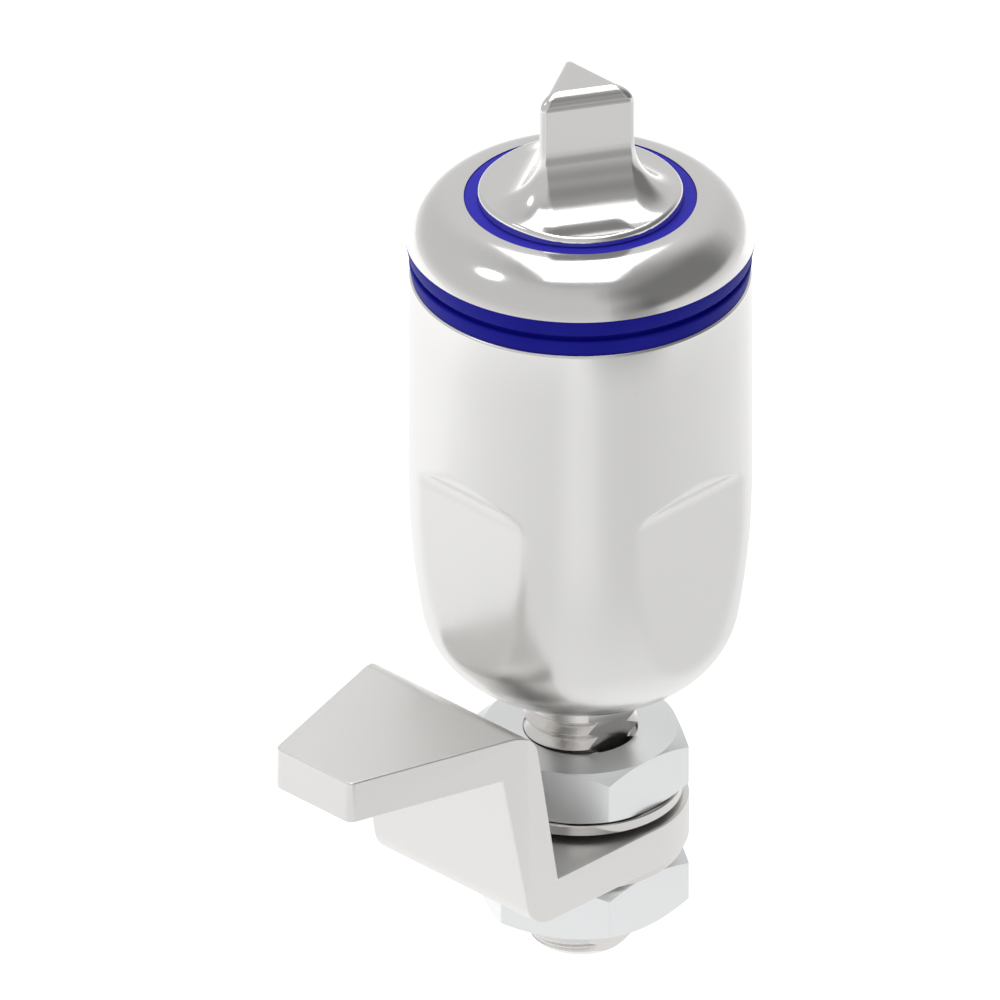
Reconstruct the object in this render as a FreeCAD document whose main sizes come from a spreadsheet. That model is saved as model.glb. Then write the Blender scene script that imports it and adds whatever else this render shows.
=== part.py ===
import FreeCAD, Part
import math
import os
import Sketcher

# Compression latch for a panel, in millimetres.
# The origin is on the turning axis, in the plane where the two panel gaskets meet.
# +Z points out of the panel towards the key, and the cam's tip lies along -X.
# Heights below the panel are given as depths, so their values are positive.

DIMENSIONS = [
    # Clearances
    ("running_gap", 0.05),
    ("slip_gap", 0.02),
    ("seal_gap", 0.10),
    ("face_gap", 0.05),
    ("cut_margin", 2.0),
    # Head and barrel
    ("head_overhang", 0.3),
    ("head_crest", 5.5),
    ("barrel_radius", 11.0),
    ("barrel_depth", 36.2),
    ("barrel_flat_cut", 0.9),
    ("barrel_chamfer", 0.8),
    ("bore_radius", 8.0),
    ("head_wall_depth", 4.0),
    ("collar_radius", 7.2),
    # Gaskets and the blue ring in the face
    ("front_gasket_thickness", 1.56),
    ("rear_gasket_thickness", 2.04),
    ("front_taper", 0.26),
    ("rear_taper", 0.2),
    ("front_lip", 0.18),
    ("rear_lip", 0.39),
    ("face_seal_radius", 10.19),
    ("face_seal_thickness", 0.9),
    ("face_seal_sink", 0.05),
    # Key spindle
    ("key_height", 17.2),
    ("key_triangle_height", 8.0),
    ("key_corner_radius", 0.5),
    ("key_top_rounding", 1.35),
    ("key_root_rounding", 5.5),
    ("disc_radius", 9.0),
    ("disc_lift", 0.05),
    ("disc_thickness", 0.8),
    ("disc_rim_rounding", 0.45),
    ("stem_radius", 6.0),
    ("skirt_depth", 25.4),
    ("spring_pocket_depth", 2.0),
    ("stem_seal_section", 1.3),
    ("stem_seal_height", 1.5),
    # Retaining rings and thrust washer
    ("ring_thickness", 1.0),
    ("ring_groove_extra", 0.1),
    ("spindle_groove_depth", 0.3),
    ("spindle_ring_gap", 0.5),
    ("barrel_groove_depth", 0.5),
    ("barrel_ring_reach", 1.1),
    ("ring_opening", 4.0),
    ("thrust_washer_thickness", 0.8),
    # Guide sleeve and its stop
    ("sleeve_top_gap", 0.35),
    ("dog_length", 2.0),
    ("dog_angle", 40.0),
    ("turn_angle", 90.0),
    # Cross pin and stroke
    ("pin_radius", 1.5),
    ("pin_depth", 20.0),
    ("pin_end_gap", 0.4),
    ("pin_chamfer", 0.3),
    ("stroke", 4.0),
    ("slot_overrun", 8.0),
    # Spring and its seat
    ("spring_gap", 0.3),
    ("spring_wire", 0.8),
    ("spring_turns", 5.0),
    ("spring_seat_thickness", 1.0),
    ("spring_pilot_radius", 2.5),
    ("spring_pilot_height", 1.2),
    # End bush and shaft seal
    ("bush_length", 5.15),
    ("bush_key_width", 2.0),
    ("bush_key_height", 0.8),
    ("shaft_seal_section", 1.2),
    ("shaft_seal_rise", 1.5),
    # Shaft
    ("shaft_radius", 5.0),
    ("shaft_neck_radius", 4.0),
    ("shaft_shoulder_gap", 0.6),
    ("shaft_top_depth", 14.0),
    ("shaft_end_length", 4.15),
    ("shaft_end_chamfer", 1.0),
    ("shaft_flat_cut", 1.0),
    ("shaft_flat_overrun", 0.4),
    # Cup nut
    ("cup_radius", 15.0),
    ("cup_floor_gap", 0.5),
    ("cup_floor_thickness", 5.5),
    ("cup_barrel_arc", 80.0),
    ("cup_side_drop", 1.04),
    ("cup_end_land", 0.86),
    ("cup_top_chamfer", 0.3),
    ("cup_flat_cut", 1.5),
    ("cup_flat_depth", 19.7),
    ("cup_flat_runout", 2.0),
    ("cup_mouth_chamfer", 0.5),
    # Jam nuts
    ("nut_across_flats", 17.0),
    ("nut_thickness", 5.0),
    ("nut_chamfer_drop", 0.735),
    ("nut_bore_chamfer", 0.1),
    ("nut_clearance", 1.6),
    # Curved spring washers
    ("washer_radius", 9.25),
    ("washer_bore_gap", 0.25),
    ("washer_thickness", 0.95),
    ("upper_washer_height", 1.5),
    ("lower_washer_height", 1.15),
    ("washer_turn", 35.0),
    # Cam
    ("cam_thickness", 4.0),
    ("cam_half_width", 9.5),
    ("cam_crank", 15.9),
    ("cam_web_start", 12.2),
    ("cam_web_slope", 10.2),
    ("cam_bend_radius", 3.0),
    ("cam_taper_start", 16.1),
    ("cam_length", 33.05),
    ("cam_tip_half_width", 4.6),
    ("cam_tip_corner", 0.8),
]

HALF_HEX_CORNER = 1.0 / math.sqrt(3.0)
TRIANGLE_CORNER = 2.0 / 3.0
QUARTER_TURN = math.pi / 2.0
SEAL_GROOVE_SHARE = 0.65
BEVEL_SHARE = 0.25
STRIP_REACH = 1.1


class Size:
    """A number together with the sheet expression that gives it."""

    def __init__(self, value, text):
        self.value = value
        self.text = text

    def joined(self, other, sign, result):
        other_text = other.text if isinstance(other, Size) else repr(float(other))
        return Size(result, "(" + self.text + sign + other_text + ")")

    def __add__(self, other):
        return self.joined(other, " + ", self.value + number(other))

    def __sub__(self, other):
        return self.joined(other, " - ", self.value - number(other))

    def __mul__(self, other):
        return self.joined(other, " * ", self.value * number(other))

    def __truediv__(self, other):
        return self.joined(other, " / ", self.value / number(other))

    def __neg__(self):
        return Size(-self.value, "(-1 * " + self.text + ")")


def number(size):
    return size.value if isinstance(size, Size) else float(size)


def square_root(size):
    return Size(math.sqrt(size.value), "sqrt(" + size.text + ")")


def sine(angle):
    return Size(math.sin(math.radians(angle.value)), "sin(" + angle.text + ")")


def cosine(angle):
    return Size(math.cos(math.radians(angle.value)), "cos(" + angle.text + ")")


ZERO = Size(0.0, "0")


class Sizes:
    """The sheet's cells, read by name."""

    def __init__(self, sheet):
        self.sheet = sheet
        for row, (alias, value) in enumerate(DIMENSIONS, start=1):
            sheet.set("A" + str(row), alias)
            sheet.set("B" + str(row), str(value))
            sheet.setAlias("B" + str(row), alias)
            setattr(self, alias, Size(value, sheet.Name + "." + alias))


doc = FreeCAD.newDocument("compression_latch")
dim = Sizes(doc.addObject("Spreadsheet::Sheet", "Sizes"))
doc.recompute()
sub_parts = []


def new_body(label):
    body = doc.addObject("PartDesign::Body", label)
    body.Label = label
    sub_parts.append(body)
    return body


def origin_feature(body, role):
    for feature in body.Origin.OriginFeatures:
        if feature.Role == role:
            return feature
    raise ValueError(role)


def new_sketch(body, name, plane, offset=None, turn=None):
    """A sketch on one of the body's own planes, moved along its normal or turned about +Z."""
    sketch = body.newObject("Sketcher::SketchObject", name)
    sketch.AttachmentSupport = [(origin_feature(body, plane), "")]
    sketch.MapMode = "FlatFace"
    if offset is not None:
        sketch.setExpression(".AttachmentOffset.Base.z", offset.text)
    if turn is not None:
        upright = FreeCAD.Rotation(FreeCAD.Vector(0, 1, 0), turn.value)
        sketch.AttachmentOffset = FreeCAD.Placement(FreeCAD.Vector(), upright)
        sketch.setExpression(".AttachmentOffset.Rotation.Angle", turn.text)
    return sketch


def bind(sketch, constraint, size):
    index = sketch.addConstraint(constraint)
    if isinstance(size, Size):
        sketch.setExpression("Constraints[" + str(index) + "]", size.text)
    return index


def fix_point(sketch, geometry, point, x, y):
    bind(sketch, Sketcher.Constraint("DistanceX", -1, 1, geometry, point, number(x)), x)
    bind(sketch, Sketcher.Constraint("DistanceY", -1, 1, geometry, point, number(y)), y)


def arc_between(start, end, radius, side):
    """The arc from start to end whose centre lies to the left (side 1) or right (side -1)."""
    chord = end - start
    half = chord.Length / 2
    normal = FreeCAD.Vector(-chord.y, chord.x, 0).normalize()
    reach = math.sqrt(max(radius * radius - half * half, 0.0))
    centre = (start + end) / 2 + normal * (side * reach)
    circle = Part.Circle(centre, FreeCAD.Vector(0, 0, 1), radius)
    first, last = (start, end) if side > 0 else (end, start)
    angles = [math.atan2(point.y - centre.y, point.x - centre.x) for point in (first, last)]
    return Part.ArcOfCircle(circle, angles[0], angles[1])


def add_outline(sketch, corners):
    """A closed outline. Each corner is (x, y), or (x, y, radius, side) before an arc."""
    points = [FreeCAD.Vector(number(corner[0]), number(corner[1]), 0) for corner in corners]
    count = len(corners)
    ends = []
    for index, corner in enumerate(corners):
        start, end = points[index], points[(index + 1) % count]
        if len(corner) == 4:
            geometry = sketch.addGeometry(arc_between(start, end, number(corner[2]), corner[3]))
            ends.append((geometry, (1, 2) if corner[3] > 0 else (2, 1)))
            bind(sketch, Sketcher.Constraint("Radius", geometry, number(corner[2])), corner[2])
        else:
            geometry = sketch.addGeometry(Part.LineSegment(start, end))
            ends.append((geometry, (1, 2)))
    for index, corner in enumerate(corners):
        geometry, (first, last) = ends[index]
        following, (following_first, _) = ends[(index + 1) % count]
        sketch.addConstraint(Sketcher.Constraint("Coincident", geometry, last, following, following_first))
        fix_point(sketch, geometry, first, corner[0], corner[1])


def add_circle(sketch, x, y, radius):
    centre = FreeCAD.Vector(number(x), number(y), 0)
    circle = Part.Circle(centre, FreeCAD.Vector(0, 0, 1), number(radius))
    geometry = sketch.addGeometry(circle)
    fix_point(sketch, geometry, 3, x, y)
    bind(sketch, Sketcher.Constraint("Radius", geometry, number(radius)), radius)


def add_flat_pair(sketch, half, reach):
    """Two rectangles that cut a round bar back to a pair of flats facing +Y and -Y."""
    for inner, outer in ((half, reach), (-half, -reach)):
        add_outline(sketch, [(-reach, inner), (reach, inner), (reach, outer), (-reach, outer)])


def add_slot(sketch, low, high, radius):
    """An upright slot on the sketch's vertical axis, with half-round ends."""
    ends = []
    for height, first, last in ((low, math.pi, 2 * math.pi), (high, 0.0, math.pi)):
        circle = Part.Circle(FreeCAD.Vector(0, number(height), 0), FreeCAD.Vector(0, 0, 1), number(radius))
        arc = sketch.addGeometry(Part.ArcOfCircle(circle, first, last))
        fix_point(sketch, arc, 3, ZERO, height)
        bind(sketch, Sketcher.Constraint("Radius", arc, number(radius)), radius)
        sketch.addConstraint(Sketcher.Constraint("Horizontal", arc, 1, arc, 3))
        sketch.addConstraint(Sketcher.Constraint("Horizontal", arc, 2, arc, 3))
        ends.append(arc)
    bottom, top = ends
    for side, start, end in ((1, 2, 1), (-1, 1, 2)):
        foot = FreeCAD.Vector(side * number(radius), number(low), 0)
        head = FreeCAD.Vector(side * number(radius), number(high), 0)
        line = sketch.addGeometry(Part.LineSegment(foot, head))
        sketch.addConstraint(Sketcher.Constraint("Coincident", line, 1, bottom, start))
        sketch.addConstraint(Sketcher.Constraint("Coincident", line, 2, top, end))


def finish_feature(body, feature, sign, base=None):
    """Recompute, and stop if the feature failed or changed the volume the wrong way."""
    base = base or feature.BaseFeature
    before = base.Shape.Volume if base is not None else 0.0
    body.Tip = feature
    doc.recompute()
    if "Invalid" in feature.State or feature.Shape.isNull():
        raise RuntimeError(body.Label + " " + feature.Label + " failed")
    change = feature.Shape.Volume - before
    if change * sign <= 0:
        raise RuntimeError(body.Label + " " + feature.Label + " changed the volume by " + str(change))
    return feature


def revolve(body, name, corners):
    sketch = new_sketch(body, name + "_profile", "XZ_Plane")
    add_outline(sketch, corners)
    feature = body.newObject("PartDesign::Revolution", name)
    feature.Profile = sketch
    feature.ReferenceAxis = (sketch, ["V_Axis"])
    feature.Angle = 360
    return finish_feature(body, feature, 1)


def groove(body, name, corners):
    sketch = new_sketch(body, name + "_profile", "XZ_Plane")
    add_outline(sketch, corners)
    feature = body.newObject("PartDesign::Groove", name)
    feature.Profile = sketch
    feature.ReferenceAxis = (sketch, ["V_Axis"])
    feature.Angle = 360
    return finish_feature(body, feature, -1)


def ring_groove(body, name, inner, outer, top, bottom):
    """A square-shouldered ring cut between two radii and two heights."""
    return groove(body, name, [(inner, bottom), (outer, bottom), (outer, top), (inner, top)])


def pad(body, name, sketch, length, down=False, symmetric=False):
    feature = body.newObject("PartDesign::Pad", name)
    feature.Profile = sketch
    feature.setExpression("Length", length.text)
    feature.Reversed = down
    feature.Midplane = symmetric
    return finish_feature(body, feature, 1)


def pocket(body, name, sketch, length=None, upwards=False):
    """A cut of a stated depth, or through everything both ways when no depth is given."""
    feature = body.newObject("PartDesign::Pocket", name)
    feature.Profile = sketch
    if length is None:
        feature.Type = "ThroughAll"
        feature.Midplane = True
    else:
        feature.setExpression("Length", length.text)
        feature.Reversed = upwards
    return finish_feature(body, feature, -1)


def repeat_cut(body, name, original, count):
    """The same cut, spaced evenly round the axis."""
    feature = body.newObject("PartDesign::PolarPattern", name)
    feature.Originals = [original]
    feature.Axis = (origin_feature(body, "Z_Axis"), [""])
    feature.Angle = 360
    feature.Occurrences = count
    return finish_feature(body, feature, -1, base=original)


def edge_names(feature, wanted):
    names = []
    for index, edge in enumerate(feature.Shape.Edges, start=1):
        if wanted(edge):
            names.append("Edge" + str(index))
    if not names:
        raise RuntimeError("no edge found on " + feature.Name)
    return names


def fillet(body, name, base, wanted, radius, sign=-1):
    """A rounding. It takes material off, or fills an inside corner when the sign is 1."""
    feature = body.newObject("PartDesign::Fillet", name)
    feature.Base = (base, edge_names(base, wanted))
    feature.setExpression("Radius", radius.text)
    return finish_feature(body, feature, sign)


def chamfer(body, name, base, wanted, size):
    feature = body.newObject("PartDesign::Chamfer", name)
    feature.Base = (base, edge_names(base, wanted))
    feature.setExpression("Size", size.text)
    return finish_feature(body, feature, -1)


def near(value, wanted, tolerance=0.01):
    return abs(value - wanted) < tolerance


# Radii and widths that several pieces share
head_radius = dim.cup_radius + dim.head_overhang
cup_bore = dim.shaft_radius + dim.seal_gap
cup_bottom_radius = cup_bore + dim.cup_end_land
cup_corner_arc = dim.cup_radius - cup_bottom_radius - dim.cup_side_drop
barrel_flat = dim.barrel_radius - dim.barrel_flat_cut
shaft_flat = dim.shaft_radius - dim.shaft_flat_cut
cup_flat = dim.cup_radius - dim.cup_flat_cut
front_lip_radius = head_radius - dim.front_taper
rear_bottom_radius = dim.cup_radius - dim.rear_taper
spindle_groove_radius = dim.stem_radius - dim.spindle_groove_depth
spindle_ring_radius = dim.bore_radius - dim.spindle_ring_gap
barrel_groove_radius = dim.bore_radius + dim.barrel_groove_depth
barrel_ring_bore = dim.bore_radius - dim.barrel_ring_reach
sleeve_bore = dim.stem_radius + dim.running_gap
sleeve_radius = dim.bore_radius - dim.running_gap
dog_bore = sleeve_bore + dim.running_gap * 4.0
shaft_bore = dim.shaft_radius + dim.running_gap
spring_pocket_radius = dim.shaft_neck_radius + dim.running_gap
spring_radius = spring_pocket_radius - dim.spring_gap
washer_bore_radius = dim.shaft_radius + dim.washer_bore_gap
pin_length = (dim.bore_radius - dim.pin_end_gap) * 2.0

# Heights above the panel, and depths below it, that several pieces share
disc_bottom = dim.head_crest + dim.disc_lift
collar_top = disc_bottom - dim.face_gap
seal_floor = dim.head_crest - dim.face_seal_sink - dim.face_seal_thickness
washer_bottom = dim.head_wall_depth + dim.thrust_washer_thickness
spindle_ring_top = washer_bottom + dim.face_gap
spindle_ring_bottom = spindle_ring_top + dim.ring_thickness
sleeve_top = spindle_ring_bottom + dim.sleeve_top_gap
bush_bottom = dim.barrel_depth - dim.ring_thickness * 2.0
barrel_ring_bottom = bush_bottom + dim.ring_thickness
bush_top = bush_bottom - dim.bush_length
shaft_seal_depth = bush_bottom - dim.shaft_seal_rise
sleeve_depth = bush_top - dim.face_gap
dog_bottom = sleeve_depth + dim.dog_length
spring_bottom = dim.shaft_top_depth - dim.spring_seat_thickness
shaft_neck_depth = dim.skirt_depth + dim.stroke + dim.shaft_shoulder_gap
cup_floor_depth = dim.barrel_depth + dim.cup_floor_gap
cup_depth = cup_floor_depth + dim.cup_floor_thickness
shaft_flat_depth = cup_depth - dim.shaft_flat_overrun
upper_nut_depth = cup_depth + dim.stroke + dim.nut_clearance
upper_nut_bottom = upper_nut_depth + dim.nut_thickness
cam_top = upper_nut_bottom + dim.upper_washer_height
cam_bottom = cam_top + dim.cam_thickness
lower_nut_top = cam_bottom + dim.lower_washer_height
shaft_end_depth = lower_nut_top + dim.nut_thickness + dim.shaft_end_length


def make_head_housing():
    """Domed flange, threaded barrel and the bores that carry the mechanism, in one piece."""
    body = new_body("head_housing")
    under = dim.front_gasket_thickness
    across = head_radius - dim.face_seal_radius
    rise = dim.head_crest - under
    dome_radius = (across * across + rise * rise) / (rise * 2.0)
    stem_bore = dim.stem_radius + dim.running_gap
    revolve(body, "shell", [
        (stem_bore, collar_top),
        (stem_bore, -dim.head_wall_depth),
        (dim.bore_radius, -dim.head_wall_depth),
        (dim.bore_radius, -dim.barrel_depth),
        (dim.barrel_radius - dim.barrel_chamfer, -dim.barrel_depth),
        (dim.barrel_radius, dim.barrel_chamfer - dim.barrel_depth),
        (dim.barrel_radius, under),
        (head_radius, under, dome_radius, 1),
        (dim.face_seal_radius, dim.head_crest),
        (dim.face_seal_radius, seal_floor),
        (dim.collar_radius, seal_floor),
        (dim.collar_radius, collar_top),
    ])
    groove_bottom = barrel_ring_bottom + dim.ring_groove_extra
    inside = dim.bore_radius - dim.cut_margin
    ring_groove(body, "ring_groove", inside, barrel_groove_radius, -bush_bottom, -groove_bottom)
    # Two flats keep the barrel from turning in the panel
    flats = new_sketch(body, "barrel_flats_outline", "XY_Plane")
    add_flat_pair(flats, barrel_flat, dim.barrel_radius + dim.cut_margin)
    pocket(body, "barrel_flats", flats, dim.barrel_depth)
    # Keyway for the end bush
    keyway = new_sketch(body, "keyway_outline", "XY_Plane", -dim.barrel_depth)
    half = dim.bush_key_width / 2.0 + dim.slip_gap
    tip = dim.bore_radius + dim.bush_key_height + dim.slip_gap
    add_outline(keyway, [(inside, -half), (tip, -half), (tip, half), (inside, half)])
    pocket(body, "keyway", keyway, dim.barrel_depth - bush_top, upwards=True)
    return body


def make_front_gasket():
    body = new_body("front_gasket")
    inner = dim.barrel_radius + dim.seal_gap
    revolve(body, "ring", [
        (inner, ZERO),
        (front_lip_radius - dim.front_lip, ZERO),
        (front_lip_radius, dim.front_lip),
        (head_radius, dim.front_gasket_thickness),
        (inner, dim.front_gasket_thickness),
    ])
    return body


def make_rear_gasket():
    body = new_body("rear_gasket")
    inner = dim.barrel_radius + dim.seal_gap
    revolve(body, "ring", [
        (inner, -dim.rear_gasket_thickness),
        (rear_bottom_radius, -dim.rear_gasket_thickness),
        (dim.cup_radius, -dim.rear_lip),
        (dim.cup_radius - dim.rear_lip, ZERO),
        (inner, ZERO),
    ])
    return body


def make_face_seal():
    body = new_body("face_seal")
    outer = dim.face_seal_radius - dim.slip_gap
    inner = dim.collar_radius + dim.slip_gap
    top = dim.head_crest - dim.face_seal_sink
    bevel = dim.face_seal_thickness * BEVEL_SHARE
    revolve(body, "ring", [
        (inner, seal_floor),
        (outer, seal_floor),
        (outer, top - bevel / 2.0),
        (outer - bevel / 2.0, top),
        (inner + bevel, top),
        (inner, top - bevel),
    ])
    return body


def make_cup_nut():
    """Long nut, closed round the shaft, that covers the barrel and carries four spanner flats."""
    body = new_body("cup_nut")
    top = dim.rear_gasket_thickness
    bore = dim.barrel_radius + dim.slip_gap
    mouth = dim.cup_mouth_chamfer
    # The side is one wide arc, tangent to the straight wall and to the corner's arc
    arc_gap = dim.cup_barrel_arc - cup_corner_arc
    lean_cosine = (dim.cup_barrel_arc + cup_bottom_radius - dim.cup_radius) / arc_gap
    lean_sine = square_root(-(lean_cosine * lean_cosine) + 1.0)
    corner_radius = cup_bottom_radius + cup_corner_arc * lean_cosine
    corner_depth = cup_depth - cup_corner_arc + cup_corner_arc * lean_sine
    straight = corner_depth - dim.cup_barrel_arc * lean_sine
    revolve(body, "shell", [
        (cup_bore, -cup_floor_depth),
        (cup_bore, -cup_depth),
        (cup_bottom_radius, -cup_depth, cup_corner_arc, 1),
        (corner_radius, -corner_depth, dim.cup_barrel_arc, 1),
        (dim.cup_radius, -straight),
        (dim.cup_radius, -top - dim.cup_top_chamfer),
        (dim.cup_radius - dim.cup_top_chamfer, -top),
        (bore + mouth, -top),
        (bore, -top - mouth),
        (bore, -cup_floor_depth),
    ])
    # One spanner flat with its milled run-out, seen from the side, then four round the nut
    flat = new_sketch(body, "spanner_flat_outline", "XZ_Plane")
    face = cup_flat
    runout = dim.cup_flat_runout
    outside = dim.cup_radius + dim.cut_margin
    add_outline(flat, [
        (face, -cup_depth - dim.cut_margin),
        (outside, -cup_depth - dim.cut_margin),
        (outside, -dim.cup_flat_depth),
        (face + runout, -dim.cup_flat_depth, runout, 1),
        (face, -dim.cup_flat_depth - runout),
    ])
    cut = pocket(body, "spanner_flat", flat)
    repeat_cut(body, "spanner_flats", cut, count=4)
    return body


def make_key_spindle():
    """Triangular key, cover disc and hollow stem with the helical slots that lift the cross pin."""
    body = new_body("key_spindle")
    disc_top = disc_bottom + dim.disc_thickness
    corner = dim.key_triangle_height * TRIANGLE_CORNER
    # The disc starts oversize, so that the key's wide rounding can run out over its rim
    blank_radius = corner + dim.key_root_rounding
    seal_half = dim.stem_seal_section * SEAL_GROOVE_SHARE
    seal_groove = dim.stem_radius - dim.stem_seal_section - dim.running_gap * 2.0
    revolve(body, "stem", [
        (ZERO, -dim.spring_pocket_depth),
        (spring_pocket_radius, -dim.spring_pocket_depth),
        (spring_pocket_radius, -dim.skirt_depth),
        (dim.stem_radius, -dim.skirt_depth),
        (dim.stem_radius, -spindle_ring_bottom - dim.ring_groove_extra),
        (spindle_groove_radius, -spindle_ring_bottom - dim.ring_groove_extra),
        (spindle_groove_radius, -spindle_ring_top + dim.face_gap),
        (dim.stem_radius, -spindle_ring_top + dim.face_gap),
        (dim.stem_radius, dim.stem_seal_height - seal_half),
        (seal_groove, dim.stem_seal_height - seal_half),
        (seal_groove, dim.stem_seal_height + seal_half),
        (dim.stem_radius, dim.stem_seal_height + seal_half),
        (dim.stem_radius, disc_bottom),
        (blank_radius, disc_bottom),
        (blank_radius, disc_top),
        (ZERO, disc_top),
    ])
    # The triangle is drawn with one corner towards the cam's tip
    triangle = new_sketch(body, "key_outline", "XY_Plane", disc_top)
    corners = []
    for turn in (60.0, 180.0, 300.0):
        corners.append((corner * math.cos(math.radians(turn)), corner * math.sin(math.radians(turn))))
    add_outline(triangle, corners)
    key = pad(body, "key", triangle, dim.key_height - disc_top)
    low, high = disc_top.value, dim.key_height.value

    def standing(edge):
        return near(edge.BoundBox.ZMax, high) and near(edge.BoundBox.ZMin, low)

    def at_top(edge):
        return near(edge.BoundBox.ZMin, high)

    def at_root(edge):
        box = edge.BoundBox
        return near(box.ZMin, low) and near(box.ZMax, low) and box.XMax < corner.value

    def at_rim(edge):
        ends = [near(math.hypot(end.X, end.Y), dim.disc_radius.value) for end in edge.Vertexes]
        return all(ends) and edge.BoundBox.ZMin > low - dim.disc_thickness.value / 2.0

    rounded = fillet(body, "key_corners", key, standing, dim.key_corner_radius)
    topped = fillet(body, "key_top", rounded, at_top, dim.key_top_rounding)
    fillet(body, "key_root", topped, at_root, dim.key_root_rounding, sign=1)
    outside = blank_radius + dim.cut_margin
    rounding_top = disc_top + dim.key_root_rounding
    trimmed = ring_groove(body, "disc_trim", dim.disc_radius, outside, rounding_top,
                          disc_bottom - dim.cut_margin)
    fillet(body, "disc_rim", trimmed, at_rim, dim.disc_rim_rounding)
    add_helical_slots(body)
    return body


def add_helical_slots(body):
    """Two slots that climb by the stroke over a quarter turn, with round ends the pin's size."""
    slot_radius = dim.pin_radius + dim.running_gap
    # The slot is steepest at the skirt's inner wall, so it is tallest there
    steepness = dim.stroke / (spring_pocket_radius * QUARTER_TURN)
    half_height = slot_radius * square_root(steepness * steepness + 1.0)
    # The cut starts a little before the pin's first position and ends a little past its last
    overrun = dim.stroke * dim.slot_overrun / dim.turn_angle
    profile = new_sketch(body, "slot_section", "XZ_Plane", turn=-dim.slot_overrun)
    inner = spring_pocket_radius - dim.cut_margin
    outer = dim.stem_radius + dim.cut_margin
    low = -dim.pin_depth - overrun - half_height
    high = half_height - dim.pin_depth - overrun
    add_outline(profile, [(inner, low), (outer, low), (outer, high), (inner, high)])
    slot = body.newObject("PartDesign::SubtractiveHelix", "helical_slot")
    slot.Profile = profile
    slot.ReferenceAxis = (profile, ["V_Axis"])
    slot.Mode = "pitch-height-angle"
    slot.setExpression("Pitch", (dim.stroke * 4.0).text)
    slot.setExpression("Height", (dim.stroke + overrun * 2.0).text)
    finish_feature(body, slot, -1)
    repeat_cut(body, "helical_slots", slot, count=2)
    add_slot_ends(body, "slot_starts", "YZ_Plane", dim.pin_depth, slot_radius)
    add_slot_ends(body, "slot_finishes", "XZ_Plane", dim.pin_depth - dim.stroke, slot_radius)


def add_slot_ends(body, name, plane, depth, radius):
    outline = new_sketch(body, name + "_outline", plane)
    add_circle(outline, ZERO, -depth, radius)
    pocket(body, name, outline)


def make_o_ring(label, centre_radius, section_radius, height):
    """A round-section seal ring."""
    body = new_body(label)
    sketch = new_sketch(body, "section", "XZ_Plane")
    add_circle(sketch, centre_radius, height, section_radius)
    feature = body.newObject("PartDesign::Revolution", "ring")
    feature.Profile = sketch
    feature.ReferenceAxis = (sketch, ["V_Axis"])
    feature.Angle = 360
    finish_feature(body, feature, 1)
    return body


def make_flat_ring(label, inner, outer, top, bottom):
    body = new_body(label)
    revolve(body, "ring", [(inner, bottom), (outer, bottom), (outer, top), (inner, top)])
    return body


def make_retaining_ring(label, inner, outer, top):
    """A flat spring ring with its opening towards +X."""
    body = make_flat_ring(label, inner, outer, top, top - dim.ring_thickness)
    gap = new_sketch(body, "opening_outline", "XY_Plane", top)
    half = dim.ring_opening / 2.0
    beyond = outer + dim.cut_margin
    add_outline(gap, [(ZERO, -half), (beyond, -half), (beyond, half), (ZERO, half)])
    pocket(body, "opening", gap, dim.ring_thickness)
    return body


def make_guide_sleeve():
    """Sleeve that turns with the cam and lets the cross pin slide, with a dog for the quarter-turn stop."""
    body = new_body("guide_sleeve")
    revolve(body, "tube", [
        (sleeve_bore, -sleeve_depth),
        (sleeve_radius, -sleeve_depth),
        (sleeve_radius, -sleeve_top),
        (sleeve_bore, -sleeve_top),
    ])
    slot = new_sketch(body, "pin_slot_outline", "YZ_Plane")
    add_slot(slot, -dim.pin_depth, dim.stroke - dim.pin_depth, dim.pin_radius + dim.running_gap)
    pocket(body, "pin_slots", slot)
    dog = new_sketch(body, "dog_outline", "XY_Plane", -sleeve_depth)
    across = sine(dim.dog_angle / 2.0)
    along = cosine(dim.dog_angle / 2.0)
    inner = dog_bore
    add_outline(dog, [
        (inner * along, -(inner * across)),
        (sleeve_radius * along, -(sleeve_radius * across), sleeve_radius, 1),
        (sleeve_radius * along, sleeve_radius * across),
        (inner * along, inner * across, inner, -1),
    ])
    pad(body, "dog", dog, dim.dog_length, down=True)
    return body


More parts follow.
